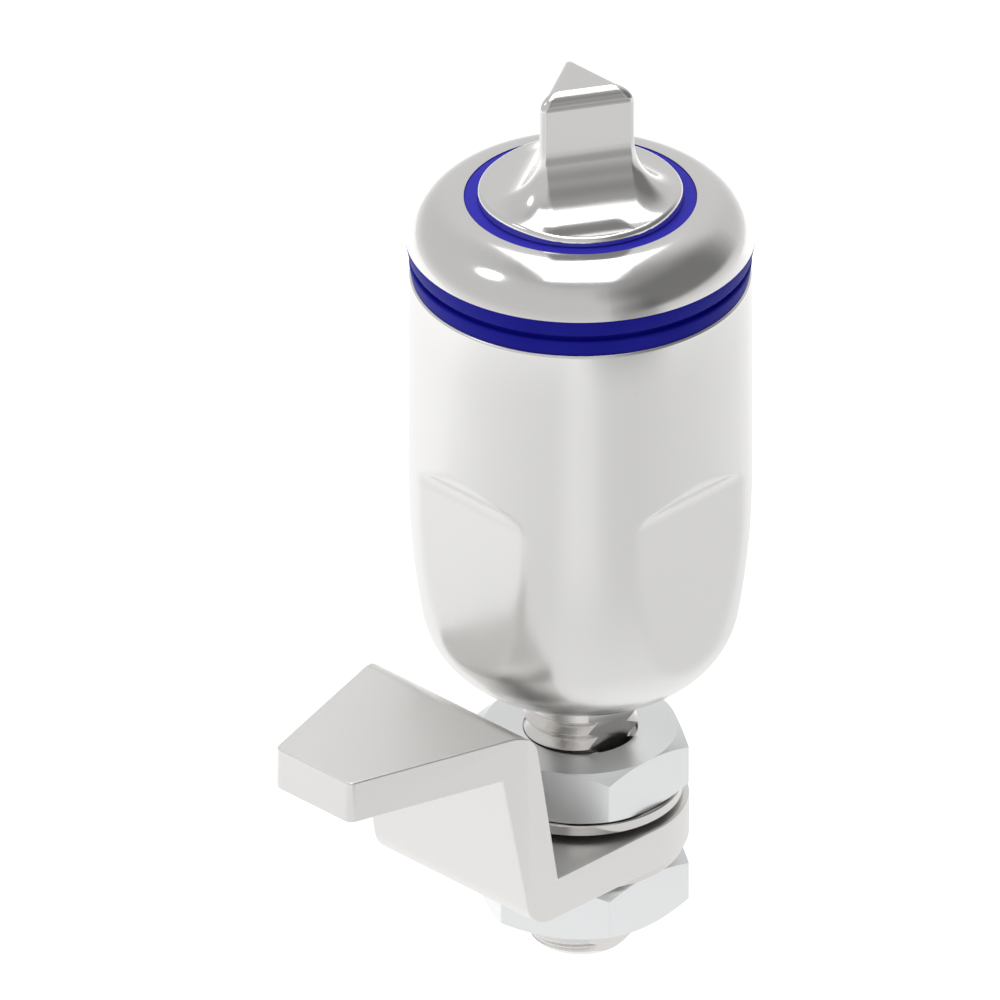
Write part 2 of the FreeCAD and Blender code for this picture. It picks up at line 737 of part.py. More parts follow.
def make_end_bush():
    """Plain bearing that closes the barrel, guides the shaft and stops the sleeve's dog."""
    body = new_body("end_bush")
    seal_half = dim.shaft_seal_section * SEAL_GROOVE_SHARE
    seal_top = shaft_seal_depth - seal_half
    seal_bottom = shaft_seal_depth + seal_half
    seal_groove = dim.shaft_radius + dim.seal_gap + dim.shaft_seal_section
    outer = dim.bore_radius - dim.slip_gap
    revolve(body, "bearing", [
        (shaft_bore, -bush_bottom),
        (outer, -bush_bottom),
        (outer, -bush_top),
        (shaft_bore, -bush_top),
        (shaft_bore, -seal_top),
        (seal_groove, -seal_top),
        (seal_groove, -seal_bottom),
        (shaft_bore, -seal_bottom),
    ])
    # The dog's track: its own width and the quarter turn, clockwise as seen from the key
    track = new_sketch(body, "dog_track_outline", "XY_Plane", -bush_top)
    slack = dim.running_gap / dim.bore_radius * math.degrees(1.0)
    lead = dim.dog_angle / 2.0 + slack
    trail = -(lead + dim.turn_angle)
    inner = dog_bore - dim.running_gap * 2.0
    rim = dim.bore_radius + dim.cut_margin
    add_outline(track, [
        (inner * cosine(trail), inner * sine(trail)),
        (rim * cosine(trail), rim * sine(trail), rim, 1),
        (rim * cosine(lead), rim * sine(lead)),
        (inner * cosine(lead), inner * sine(lead), inner, -1),
    ])
    pocket(body, "dog_track", track, dim.dog_length + dim.face_gap)
    key = new_sketch(body, "key_outline", "XY_Plane", -bush_bottom)
    half = dim.bush_key_width / 2.0
    tip = dim.bore_radius + dim.bush_key_height
    root = dim.bore_radius - dim.bush_key_height
    add_outline(key, [(root, -half), (tip, -half), (tip, half), (root, half)])
    pad(body, "key", key, bush_bottom - dog_bottom - dim.face_gap * 2.0)
    return body


def make_compression_spring():
    """Square-wire coil that keeps the shaft run out while the cam is being turned."""
    body = new_body("compression_spring")
    section = new_sketch(body, "wire", "XZ_Plane")
    low = dim.face_gap - spring_bottom
    inner = spring_radius - dim.spring_wire
    add_outline(section, [
        (inner, low),
        (spring_radius, low),
        (spring_radius, low + dim.spring_wire),
        (inner, low + dim.spring_wire),
    ])
    coil = body.newObject("PartDesign::AdditiveHelix", "coil")
    coil.Profile = section
    coil.ReferenceAxis = (section, ["V_Axis"])
    coil.Mode = "height-turns-growth"
    height = spring_bottom - dim.spring_pocket_depth - dim.face_gap * 2.0 - dim.spring_wire
    coil.setExpression("Height", height.text)
    coil.setExpression("Turns", dim.spring_turns.text)
    finish_feature(body, coil, 1)
    return body


def make_spring_seat():
    body = new_body("spring_seat")
    edge = spring_radius
    pilot_top = dim.spring_pilot_height - spring_bottom
    revolve(body, "disc", [
        (ZERO, -dim.shaft_top_depth),
        (edge, -dim.shaft_top_depth),
        (edge, -spring_bottom),
        (dim.spring_pilot_radius, -spring_bottom),
        (dim.spring_pilot_radius, pilot_top),
        (ZERO, pilot_top),
    ])
    return body


def make_shaft():
    """Draw shaft: round neck with the pin hole, then the ten-millimetre length with two flats."""
    body = new_body("shaft")
    end = dim.shaft_end_chamfer
    revolve(body, "bar", [
        (ZERO, -shaft_end_depth),
        (dim.shaft_radius - end, -shaft_end_depth),
        (dim.shaft_radius, end - shaft_end_depth),
        (dim.shaft_radius, -shaft_neck_depth),
        (dim.shaft_neck_radius, -shaft_neck_depth),
        (dim.shaft_neck_radius, -dim.shaft_top_depth),
        (ZERO, -dim.shaft_top_depth),
    ])
    flats = new_sketch(body, "flats_outline", "XY_Plane", -shaft_flat_depth)
    add_flat_pair(flats, shaft_flat, dim.shaft_radius + dim.cut_margin)
    pocket(body, "flats", flats, shaft_end_depth - shaft_flat_depth)
    hole = new_sketch(body, "pin_hole_outline", "YZ_Plane")
    add_circle(hole, ZERO, -dim.pin_depth, dim.pin_radius + dim.slip_gap)
    pocket(body, "pin_hole", hole)
    return body


def make_cross_pin():
    body = new_body("cross_pin")
    section = new_sketch(body, "section", "YZ_Plane")
    add_circle(section, ZERO, -dim.pin_depth, dim.pin_radius)
    rod = pad(body, "rod", section, pin_length, symmetric=True)
    chamfer(body, "ends", rod, lambda edge: edge.Closed, dim.pin_chamfer)
    return body


def make_jam_nut(label, top):
    """Thin hexagon nut, chamfered on both faces, with one corner towards the cam's tip."""
    body = new_body(label)
    hexagon = new_sketch(body, "hexagon", "XY_Plane", -top)
    corner = dim.nut_across_flats * HALF_HEX_CORNER
    corners = []
    for turn in range(0, 360, 60):
        corners.append((corner * math.cos(math.radians(turn)), corner * math.sin(math.radians(turn))))
    add_outline(hexagon, corners)
    pad(body, "blank", hexagon, dim.nut_thickness, down=True)
    bottom = top + dim.nut_thickness
    reach = corner - dim.nut_across_flats / 2.0
    beyond = corner + reach
    drop = dim.nut_chamfer_drop
    groove(body, "top_chamfer", [
        (corner - reach, -top),
        (beyond, -top),
        (beyond, -top - drop * 2.0),
    ])
    groove(body, "bottom_chamfer", [
        (corner - reach, -bottom),
        (beyond, drop * 2.0 - bottom),
        (beyond, -bottom),
    ])
    bore = dim.shaft_radius + dim.slip_gap
    mouth = dim.nut_bore_chamfer
    groove(body, "bore", [
        (ZERO, -bottom),
        (bore + mouth, -bottom),
        (bore, mouth - bottom),
        (bore, -top - mouth),
        (bore + mouth, -top),
        (ZERO, -top),
    ])
    return body


def make_spring_washer(label, top, height, crowned):
    """Washer bent to one curve: a crowned one touches the nut above it along its middle line."""
    body = new_body(label)
    thick = dim.washer_thickness
    bow = height - thick
    # The bow is measured at the rim, and the strip is cut a little longer than that
    reach = dim.washer_radius * STRIP_REACH
    sag = bow * (STRIP_REACH * STRIP_REACH)
    bend = (reach * reach + sag * sag) / (sag * 2.0)
    edge = -(top + sag) if crowned else sag - bow - top
    side = -1 if crowned else 1
    strip = new_sketch(body, "strip_outline", "YZ_Plane", turn=dim.washer_turn)
    add_outline(strip, [
        (-reach, edge - thick),
        (-reach, edge, bend, side),
        (reach, edge),
        (reach, edge - thick, bend, -side),
    ])
    pad(body, "bent_strip", strip, dim.washer_radius * 3.0, symmetric=True)
    rim = new_sketch(body, "rim_outline", "XY_Plane")
    add_circle(rim, ZERO, ZERO, dim.washer_radius * 3.0)
    add_circle(rim, ZERO, ZERO, dim.washer_radius)
    pocket(body, "rim", rim)
    bore = new_sketch(body, "bore_outline", "XY_Plane")
    add_circle(bore, ZERO, ZERO, washer_bore_radius)
    pocket(body, "bore", bore)
    return body


def make_cam():
    """Cranked cam: a flat plate bent up and out again, tapered to its tip, on a double-D hole."""
    body = new_body("cam")
    side = new_sketch(body, "side_outline", "XZ_Plane")
    along = sine(dim.cam_web_slope)
    up = cosine(dim.cam_web_slope)
    slope = along / up
    # How far from its corner each bend's rounding starts
    setback = dim.cam_bend_radius * (-along + 1.0) / up
    thick = dim.cam_thickness
    tip = dim.cam_length
    upper_top = dim.cam_crank - cam_top
    upper_bottom = upper_top - thick
    # Where the web's two faces cross the arms' faces
    inner_top = dim.cam_web_start + dim.cam_crank * slope
    outer_web = dim.cam_web_start + thick / up
    under_arm = outer_web + (dim.cam_crank - thick) * slope
    heel = outer_web - thick * slope
    bend = dim.cam_bend_radius
    add_outline(side, [
        (dim.cam_half_width, -cam_top),
        (-dim.cam_web_start, -cam_top),
        (-inner_top + setback * along, upper_top - setback * up, bend, 1),
        (-inner_top - setback, upper_top),
        (-tip, upper_top),
        (-tip, upper_bottom),
        (-under_arm, upper_bottom),
        (-heel - setback * along, setback * up - cam_bottom, bend, 1),
        (setback - heel, -cam_bottom),
        (dim.cam_half_width, -cam_bottom),
    ])
    pad(body, "bent_plate", side, dim.cam_half_width * 2.0, symmetric=True)
    # Everything outside the plan view is cut away
    plan = new_sketch(body, "plan_outline", "XY_Plane")
    edge = dim.cam_half_width
    nose = dim.cam_tip_half_width
    reach = dim.cam_length + dim.cut_margin
    wide = edge * 2.0
    add_outline(plan, [(-reach, -wide), (wide, -wide), (wide, wide), (-reach, wide)])
    add_outline(plan, [
        (ZERO, -edge, edge, 1),
        (edge, ZERO, edge, 1),
        (ZERO, edge),
        (-dim.cam_taper_start, edge),
        (-tip, nose),
        (-tip, -nose),
        (-dim.cam_taper_start, -edge),
    ])
    pocket(body, "plan", plan)
    hole = new_sketch(body, "hole_outline", "XY_Plane")
    radius = dim.shaft_radius + dim.running_gap
    flat = shaft_flat + dim.running_gap
    chord = square_root(radius * radius - flat * flat)
    add_outline(hole, [
        (chord, -flat, radius, 1),
        (chord, flat),
        (-chord, flat, radius, 1),
        (-chord, -flat),
    ])
    drilled = pocket(body, "hole", hole)

    def at_tip(edge):
        box = edge.BoundBox
        upright = near(box.ZMax, upper_top.value) and near(box.ZMin, upper_bottom.value)
        return upright and near(box.XMin, -tip.value) and near(box.XMax, -tip.value)

    fillet(body, "tip_corners", drilled, at_tip, dim.cam_tip_corner)
    return body


def make_all():
    make_head_housing()
    make_front_gasket()
    make_rear_gasket()
    make_face_seal()
    make_cup_nut()
    make_key_spindle()
    stem_section = dim.stem_seal_section / 2.0
    stem_centre = dim.stem_radius - stem_section - dim.running_gap
    make_o_ring("spindle_o_ring", stem_centre, stem_section, dim.stem_seal_height)
    make_flat_ring("thrust_washer", sleeve_bore, sleeve_radius, -dim.head_wall_depth, -washer_bottom)
    ring_bore = spindle_groove_radius + dim.slip_gap
    make_retaining_ring("spindle_retaining_ring", ring_bore, spindle_ring_radius, -spindle_ring_top)
    make_guide_sleeve()
    make_compression_spring()
    make_spring_seat()
    make_end_bush()
    shaft_section = dim.shaft_seal_section / 2.0
    seal_centre = dim.shaft_radius + dim.seal_gap + shaft_section
    make_o_ring("shaft_o_ring", seal_centre, shaft_section, -shaft_seal_depth)
    ring_rim = barrel_groove_radius - dim.slip_gap
    make_retaining_ring("barrel_retaining_ring", barrel_ring_bore, ring_rim, -bush_bottom)
    make_shaft()
    make_cross_pin()
    make_jam_nut("upper_nut", upper_nut_depth)
    make_spring_washer("upper_spring_washer", upper_nut_bottom, dim.upper_washer_height, True)
    make_cam()
    make_spring_washer("lower_spring_washer", cam_bottom, dim.lower_washer_height, False)
    make_jam_nut("lower_nut", lower_nut_top)


def check_and_write():
    doc.recompute()
    for item in doc.Objects:
        if "Invalid" in item.State or "Error" in item.State:
            raise RuntimeError("failed feature: " + item.Label)
    os.makedirs("parts", exist_ok=True)
    for body in sub_parts:
        shape = body.Shape
        if shape.isNull() or not shape.isValid() or len(shape.Solids) != 1:
            raise RuntimeError("bad shape: " + body.Label + " with " + str(len(shape.Solids)) + " solids")
        shape.exportStep("parts/" + body.Label + ".step")
        print(body.Label, round(shape.Volume, 1))


make_all()
check_and_write()
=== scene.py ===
# %% [markdown]
# # A compression latch in stainless steel
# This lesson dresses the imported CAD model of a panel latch. The CAD nodes are in place already, in metres,
# with the turning axis on Z, the panel's outer face at the height zero and the cam's tip towards -X. Shapes
# that are right stay, and get better materials: the head, the key and most of the inside. The gaskets, the
# cup nut, the shaft, the nuts, the washers, the cam and the spring are made again with the detail that the
# solids leave out: a real screw thread, softened edges and moulded lips.

# %% Load the frame
import math

import bpy
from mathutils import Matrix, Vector


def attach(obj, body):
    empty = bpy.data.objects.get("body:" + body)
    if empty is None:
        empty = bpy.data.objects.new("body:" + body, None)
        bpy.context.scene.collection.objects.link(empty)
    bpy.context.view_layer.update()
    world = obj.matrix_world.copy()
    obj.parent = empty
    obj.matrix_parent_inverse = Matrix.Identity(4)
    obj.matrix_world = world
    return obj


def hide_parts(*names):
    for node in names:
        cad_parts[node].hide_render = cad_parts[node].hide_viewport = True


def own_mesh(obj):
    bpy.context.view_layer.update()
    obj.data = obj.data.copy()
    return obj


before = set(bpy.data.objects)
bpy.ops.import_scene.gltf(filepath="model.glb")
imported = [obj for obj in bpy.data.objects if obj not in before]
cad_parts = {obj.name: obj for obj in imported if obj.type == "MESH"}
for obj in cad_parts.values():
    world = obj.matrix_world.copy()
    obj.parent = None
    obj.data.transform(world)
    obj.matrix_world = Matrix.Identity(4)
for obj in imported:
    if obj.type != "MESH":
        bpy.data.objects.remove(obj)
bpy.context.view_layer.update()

# %% [markdown]
# ## The camera
# The photograph looks down at 30 degrees from the corner between -X and -Y. Upright edges stay parallel in
# it, so there is no perspective and the camera is orthographic. Its scale says how wide the picture is in
# metres. It could be shifted to frame the latch, but moving it sideways and up does the same and leaves the
# shift at zero. The picture counts as 1000 by 1000 pixels, and the latch's axis meets the height zero at one
# of them.

# %% Camera
MM = 0.001
PICTURE = 1000
PIXELS_PER_MM = 11.47
AXIS_PIXEL_X, AXIS_PIXEL_Y = 580.4, 250.6
CAMERA_AZIMUTH, CAMERA_ELEVATION = 225, 30
bpy.ops.object.select_all(action="DESELECT")
bpy.ops.object.camera_add(rotation=(math.radians(90 - CAMERA_ELEVATION), 0,
                                      math.radians(CAMERA_AZIMUTH - 270)))
camera = bpy.context.object
camera.name = "camera"
bpy.context.scene.camera = camera
camera.data.type = "ORTHO"
camera.data.ortho_scale = PICTURE / PIXELS_PER_MM * MM
camera.data.clip_start = 0.01
camera.data.clip_end = 5.0
turn = camera.rotation_euler.to_matrix()
right, up, back = turn.col[0], turn.col[1], turn.col[2]
sideways = (PICTURE / 2 - AXIS_PIXEL_X) / PIXELS_PER_MM * MM
upwards = (AXIS_PIXEL_Y - PICTURE / 2) / PIXELS_PER_MM * MM
CAMERA_DISTANCE = 0.5
camera.location = right * sideways + up * upwards + back * CAMERA_DISTANCE
print("picture is", round(camera.data.ortho_scale / MM, 1), "mm wide")

# %% [markdown]
# ## A helper for turned parts
# Most of this latch comes off a lathe. A turned part is drawn as half a section, a chain of points given as
# radius and height in millimetres, and the chain is spun round the Z axis. The chain could be typed as mesh
# data, but extruding one vertex from point to point is what the hand does in edit mode. Doubles are merged
# where the spin closes, and the normals are turned outwards afterwards.

# %% Turned parts
def start_point(name, radius, height):
    """One vertex at a radius and height in millimetres, in edit mode, in an object at the origin."""
    bpy.ops.object.select_all(action="DESELECT")
    bpy.ops.mesh.primitive_plane_add(size=MM, location=(0, 0, 0))
    piece = bpy.context.object
    piece.name = name
    piece.data.name = name
    bpy.ops.object.mode_set(mode="EDIT")
    bpy.ops.mesh.select_all(action="SELECT")
    bpy.ops.mesh.merge(type="CENTER")
    bpy.ops.transform.translate(value=(radius * MM, 0, height * MM))
    return piece


def draw_chain(points):
    """Extrude the selected vertex through the points, which lie in the plane of X and Z."""
    for (x, z), (next_x, next_z) in zip(points, points[1:]):
        step = ((next_x - x) * MM, 0, (next_z - z) * MM)
        bpy.ops.mesh.extrude_vertices_move(TRANSFORM_OT_translate={"value": step})


def close_up():
    """Merge doubled points, turn all faces outwards and go back to object mode."""
    bpy.ops.mesh.select_all(action="SELECT")
    bpy.ops.mesh.remove_doubles(threshold=0.000001)
    bpy.ops.mesh.normals_make_consistent(inside=False)
    bpy.ops.object.mode_set(mode="OBJECT")


def turned(name, outline, steps=192, smooth=30):
    """Spin a half section once round the axis."""
    piece = start_point(name, *outline[0])
    draw_chain(outline)
    bpy.ops.mesh.select_all(action="SELECT")
    bpy.ops.mesh.spin(steps=steps, angle=math.tau, center=(0, 0, 0), axis=(0, 0, 1))
    close_up()
    bpy.ops.object.shade_smooth_by_angle(angle=math.radians(smooth))
    print(name, "has", len(piece.data.polygons), "faces")
    return piece


def arc(centre_x, centre_z, radius, start, end, count):
    """Points along an arc, from one angle to another in degrees."""
    points = []
    for index in range(count + 1):
        angle = math.radians(start + (end - start) * index / count)
        points.append((centre_x + radius * math.cos(angle), centre_z + radius * math.sin(angle)))
    return points


# %% [markdown]
# ## The gaskets
# Two deep blue rubber rings grip the panel between them, and a brighter ring fills the groove between the
# disc and the dome. Each is moulded, so its corners are small rounds. The front gasket's edge leans out
# towards the head, and the rear one has a shoulder below the front one, which shows as a dark line between
# the two. A bevel modifier could round them, but an arc in the drawn section rounds only the corners that
# need it.

# %% Front gasket
GASKET_BORE = 11.1
FRONT_GASKET_TOP = 1.55
front = [(GASKET_BORE, 0.0), (14.92, 0.0)]
front += arc(14.92, 0.10, 0.10, -90, -11, 4)
front += arc(15.16, FRONT_GASKET_TOP - 0.13, 0.13, -11, 90, 5)
front += [(GASKET_BORE, FRONT_GASKET_TOP), (GASKET_BORE, 0.0)]
front_gasket = turned("front_gasket_ring", front)
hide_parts("front_gasket")

# %% Rear gasket
CUP_TOP = -2.04
rear = [(GASKET_BORE, CUP_TOP), (14.72, CUP_TOP)]
rear += arc(14.68, -1.92, 0.12, -60, -7, 3)
rear += arc(14.79, -0.78, 0.18, -5, 90, 6)
rear += [(14.45, -0.56), (14.33, -0.46), (14.28, 0.0), (GASKET_BORE, 0.0), (GASKET_BORE, CUP_TOP)]
rear_gasket = turned("rear_gasket_ring", rear)
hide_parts("rear_gasket")

# %% Face seal
SEAL_BORE, SEAL_RADIUS = 7.23, 10.16
SEAL_BOTTOM, SEAL_TOP = 4.55, 5.45
seal = [(SEAL_BORE, SEAL_BOTTOM), (SEAL_RADIUS, SEAL_BOTTOM)]
seal += arc(SEAL_RADIUS - 0.10, SEAL_TOP - 0.10, 0.10, 0, 90, 4)
seal += arc(SEAL_BORE + 0.15, SEAL_TOP - 0.15, 0.15, 90, 180, 4)
seal += [(SEAL_BORE, SEAL_BOTTOM)]
face_seal = turned("face_seal_ring", seal)
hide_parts("face_seal")
for ring in (front_gasket, rear_gasket, face_seal):
    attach(ring, "housing")

# %% [markdown]
# ## The cup nut
# The long cup is turned with a side that swells a little and runs into a round end, and four spanner flats
# are milled in it. After tumbling, the edges of the flats are soft. A boolean would leave them knife-sharp,
# and a bevel doesn't fit on edges that run across so many small faces. So the dense turned mesh is pressed
# against the four planes instead: each point outside a flat moves in until it lies on it, and points close to
# the edge move part of the way, which rounds it. The rows of points are closest where the flats run out.

# %% Turned cup
CUP_RADIUS = 15.0
CUP_END = -42.2
CUP_FLOOR = -36.7
CUP_BORE = 11.02
SHAFT_HOLE = 5.1
SIDE_RADIUS = 80.0
SIDE_TOP = -22.007
SIDE_SWEEP = -9.75
CORNER_RADIUS = 8.0
RIM_ROUND = 0.3
wall = [(CUP_RADIUS, SIDE_TOP + 0.3 * index) for index in range(4)]
wall += [(CUP_RADIUS, -20.85 + 0.1 * index) for index in range(45)]
side = arc(CUP_RADIUS - SIDE_RADIUS, SIDE_TOP, SIDE_RADIUS, SIDE_SWEEP, 0, 36)
corner = arc(5.96, CUP_END + CORNER_RADIUS, CORNER_RADIUS, -90, SIDE_SWEEP, 32)
rim = arc(CUP_RADIUS - RIM_ROUND, CUP_TOP - RIM_ROUND, RIM_ROUND, 0, 90, 4)
cup_outline = [(SHAFT_HOLE, CUP_FLOOR), (SHAFT_HOLE, CUP_END)] + corner + side[1:] + wall[1:]
cup_outline += [(CUP_RADIUS, -12.0), (CUP_RADIUS, -7.0)] + rim
cup_outline += [(CUP_BORE + 0.5, CUP_TOP), (CUP_BORE, CUP_TOP - 0.5), (CUP_BORE, CUP_FLOOR),
                (SHAFT_HOLE, CUP_FLOOR)]
cup = turned("cup_nut_body", cup_outline, steps=288)


# %% Where the flats lie
CUP_FLAT = 13.5
RUNOUT_START = -20.73
RUNOUT_RADIUS = 3.4
RUNOUT_HALF = 2.131
EDGE_ROUND, RUNOUT_ROUND = 0.28, 0.14


def flat_distance(height):
    """How far from the axis a flat lies at a height, with the milled run-out at its upper end."""
    rise = height - RUNOUT_START
    if rise < 0:
        return CUP_FLAT
    if rise < RUNOUT_HALF:
        return CUP_FLAT + RUNOUT_RADIUS - math.sqrt(RUNOUT_RADIUS ** 2 - rise ** 2)
    left = 2 * RUNOUT_HALF - rise
    if left > 0:
        return CUP_RADIUS - RUNOUT_RADIUS + math.sqrt(RUNOUT_RADIUS ** 2 - left ** 2)
    return CUP_RADIUS - left


def softness(height):
    """How widely an edge is rounded: less at the run-out, where the milling cutter leaves at a low angle."""
    share = min(max(height - RUNOUT_START, 0.0), 1.0)
    return EDGE_ROUND + (RUNOUT_ROUND - EDGE_ROUND) * share


def softer(distance, limit, width):
    """The smaller of two distances, rounded where they are nearly equal."""
    near = max(width - abs(distance - limit), 0.0) / width
    return min(distance, limit) - near * near * width / 4


# %% Press the four flats
INSIDE_RADIUS = 12.0
pressed = 0
for vertex in cup.data.vertices:
    x, y, z = vertex.co / MM
    if math.hypot(x, y) < INSIDE_RADIUS and z > CUP_FLOOR - 0.1:
        continue
    limit, width = flat_distance(z), softness(z)
    for turn_sign in (1, -1):
        if x * turn_sign > limit - width:
            x = softer(x * turn_sign, limit, width) * turn_sign
        if y * turn_sign > limit - width:
            y = softer(y * turn_sign, limit, width) * turn_sign
    moved = Vector((x, y, z)) * MM
    if moved != vertex.co:
        vertex.co = moved
        pressed += 1
cup.data.update()
print("pressed", pressed, "points on the flats")
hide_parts("cup_nut")
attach(cup, "housing")

# %% [markdown]
# ## The screw thread
# The lower shaft carries a ten-millimetre thread with a pitch of one and a half. It could be faked with a
# bump, but the milled flats cut across the thread and show its zigzag along their edges, so it has to be
# real. One tooth of the section is drawn, one pitch high, and a screw modifier winds it round and up. Cut off
# at both ends, the same winding is the shaft's thread and, a hair larger, the tool that cuts the thread in
# the nuts.

# %% Wind a thread
PITCH = 1.5
THREAD_ROOT, THREAD_CREST = 4.36, 4.98
THREAD_TOP = -44.9
SHAFT_END = -68.6
THREAD_TURNS = 20


def add_modifier(piece, kind, **settings):
    """Put a modifier on a piece, set it and apply it."""
    bpy.ops.object.select_all(action="DESELECT")
    bpy.context.view_layer.objects.active = piece
    piece.select_set(True)
    bpy.ops.object.modifier_add(type=kind)
    modifier = piece.modifiers[-1]
    for key, value in settings.items():
        setattr(modifier, key, value)
    bpy.ops.object.modifier_apply(modifier=modifier.name)


def cut_level(piece, height, keep_above):
    """Cut a piece at a height in millimetres, keep one side and close the cut."""
    bpy.context.view_layer.objects.active = piece
    bpy.ops.object.mode_set(mode="EDIT")
    bpy.ops.mesh.select_all(action="SELECT")
    bpy.ops.mesh.bisect(plane_co=(0, 0, height * MM), plane_no=(0, 0, 1), use_fill=True,
                        clear_inner=keep_above, clear_outer=not keep_above, threshold=0.0000001)
    bpy.ops.object.mode_set(mode="OBJECT")


def wound_thread(name, top, bottom, extra=0.0):
    """A closed length of thread between two heights, larger than the shaft's by a little extra."""
    root, crest = THREAD_ROOT + extra, THREAD_CREST + extra
    tooth = [(root, 0.0), (root, 0.06), (crest, 0.70), (crest, 0.80), (root, 1.44), (root, PITCH)]
    base = SHAFT_END - 2 * PITCH
    piece = start_point(name, tooth[0][0], base + tooth[0][1])
    draw_chain(tooth)
    bpy.ops.object.mode_set(mode="OBJECT")
    add_modifier(piece, "SCREW", angle=math.tau, screw_offset=PITCH * MM, iterations=THREAD_TURNS, steps=96,
                 render_steps=96, use_merge_vertices=True, merge_threshold=0.000001)
    bpy.ops.object.mode_set(mode="EDIT")
    close_up()
    cut_level(piece, top, keep_above=False)
    cut_level(piece, bottom, keep_above=True)
    bpy.ops.object.mode_set(mode="EDIT")
    close_up()
    print(name, "has", len(piece.data.polygons), "faces")
    return piece


# %% Booleans
def combine(piece, tool, operation):
    """Join, cut or intersect a piece with a tool, and delete the tool."""
    add_modifier(piece, "BOOLEAN", object=tool, operation=operation, solver="EXACT")
    bpy.data.objects.remove(tool, do_unlink=True)


# %% [markdown]
# ## The shaft
# The shaft is turned, threaded over its lower length, and then milled flat on two sides. The order is kept
# here: a turned blank, the thread trimmed to the blank's chamfered end, both joined, and the flats cut last
# so that they slice the thread. The pin hole across the neck is inside the latch.

# %% Turn and thread the shaft
SHAFT_RADIUS = 5.0
NECK_RADIUS = 4.0
NECK_TOP, NECK_BOTTOM = -14.0, -30.0
SHAFT_CHAMFER = 0.3
thread = wound_thread("thread", THREAD_TOP, SHAFT_END - 0.2)
end_form = turned("end_form", [(0.0, -44.0), (5.2, -44.0), (5.2, SHAFT_END + 1.25), (3.95, SHAFT_END),
                               (0.0, SHAFT_END)])
combine(thread, end_form, "INTERSECT")
blank = [(0.0, NECK_TOP), (NECK_RADIUS - SHAFT_CHAMFER, NECK_TOP), (NECK_RADIUS, NECK_TOP - SHAFT_CHAMFER),
         (NECK_RADIUS, NECK_BOTTOM), (SHAFT_RADIUS - SHAFT_CHAMFER, NECK_BOTTOM),
         (SHAFT_RADIUS, NECK_BOTTOM - SHAFT_CHAMFER), (SHAFT_RADIUS, THREAD_TOP + 0.2),
         (4.6, THREAD_TOP - 0.2), (0.0, THREAD_TOP - 0.2)]
shaft = turned("draw_shaft_bar", blank, steps=96)
combine(shaft, thread, "UNION")


# %% Mill the flats
SHAFT_FLAT = 4.0
FLAT_TOP = -41.8
CLEAR = 7.0


def block(name, low, high):
    """A box between two corners, in millimetres, as a cutting tool."""
    middle = [(a + b) / 2 * MM for a, b in zip(low, high)]
    bpy.ops.object.select_all(action="DESELECT")
    bpy.ops.mesh.primitive_cube_add(size=1, location=middle)
    tool = bpy.context.object
    tool.name = name
    tool.scale = [(b - a) * MM for a, b in zip(low, high)]
    bpy.ops.object.transform_apply(location=True, rotation=True, scale=True)
    return tool


for side_sign in (1, -1):
    near_edge, far_edge = sorted((SHAFT_FLAT * side_sign, CLEAR * side_sign))
    cutter = block("flat_cutter", (-CLEAR, near_edge, SHAFT_END - 3.4), (CLEAR, far_edge, FLAT_TOP))
    combine(shaft, cutter, "DIFFERENCE")

# %% Drill the pin hole
PIN_HOLE_RADIUS = 1.52
PIN_HEIGHT = -20.0
bpy.ops.object.select_all(action="DESELECT")
bpy.ops.mesh.primitive_cylinder_add(vertices=48, radius=PIN_HOLE_RADIUS * MM, depth=12 * MM,
                                    location=(0, 0, PIN_HEIGHT * MM), rotation=(0, math.radians(90), 0))
drill = bpy.context.object
bpy.ops.object.transform_apply(location=True, rotation=True, scale=True)
combine(shaft, drill, "DIFFERENCE")
bpy.ops.object.shade_smooth_by_angle(angle=math.radians(30))
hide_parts("shaft")
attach(shaft, "draw_shaft")
print("shaft has", len(shaft.data.polygons), "faces")

# %% [markdown]
# ## The two thin nuts
# A hexagon nut is a hexagonal bar with a cone turned on both ends, which gives each side its curved upper
# edge. The bar is a six-sided cylinder with its corners broken by a bevel, the cones are one turned blank,
# and what both share is the nut. The bore is cut with the thread tool, and then a plain mouth is bored from
# the upper face. It is deep, so the gap beside the shaft's flat is dark. A bevel after the booleans would
# trip over the thread, so it comes first.


# %% Nuts
NUT_ACROSS = 17.0
NUT_THICK = 5.0
NUT_CONE = 1.47
NUT_EDGE = 0.10
MOUTH_RADIUS, MOUTH_DEPTH = 5.03, 2.6
NUT_BORE = 4.2
UPPER_NUT_TOP, LOWER_NUT_TOP = -47.8, -59.45


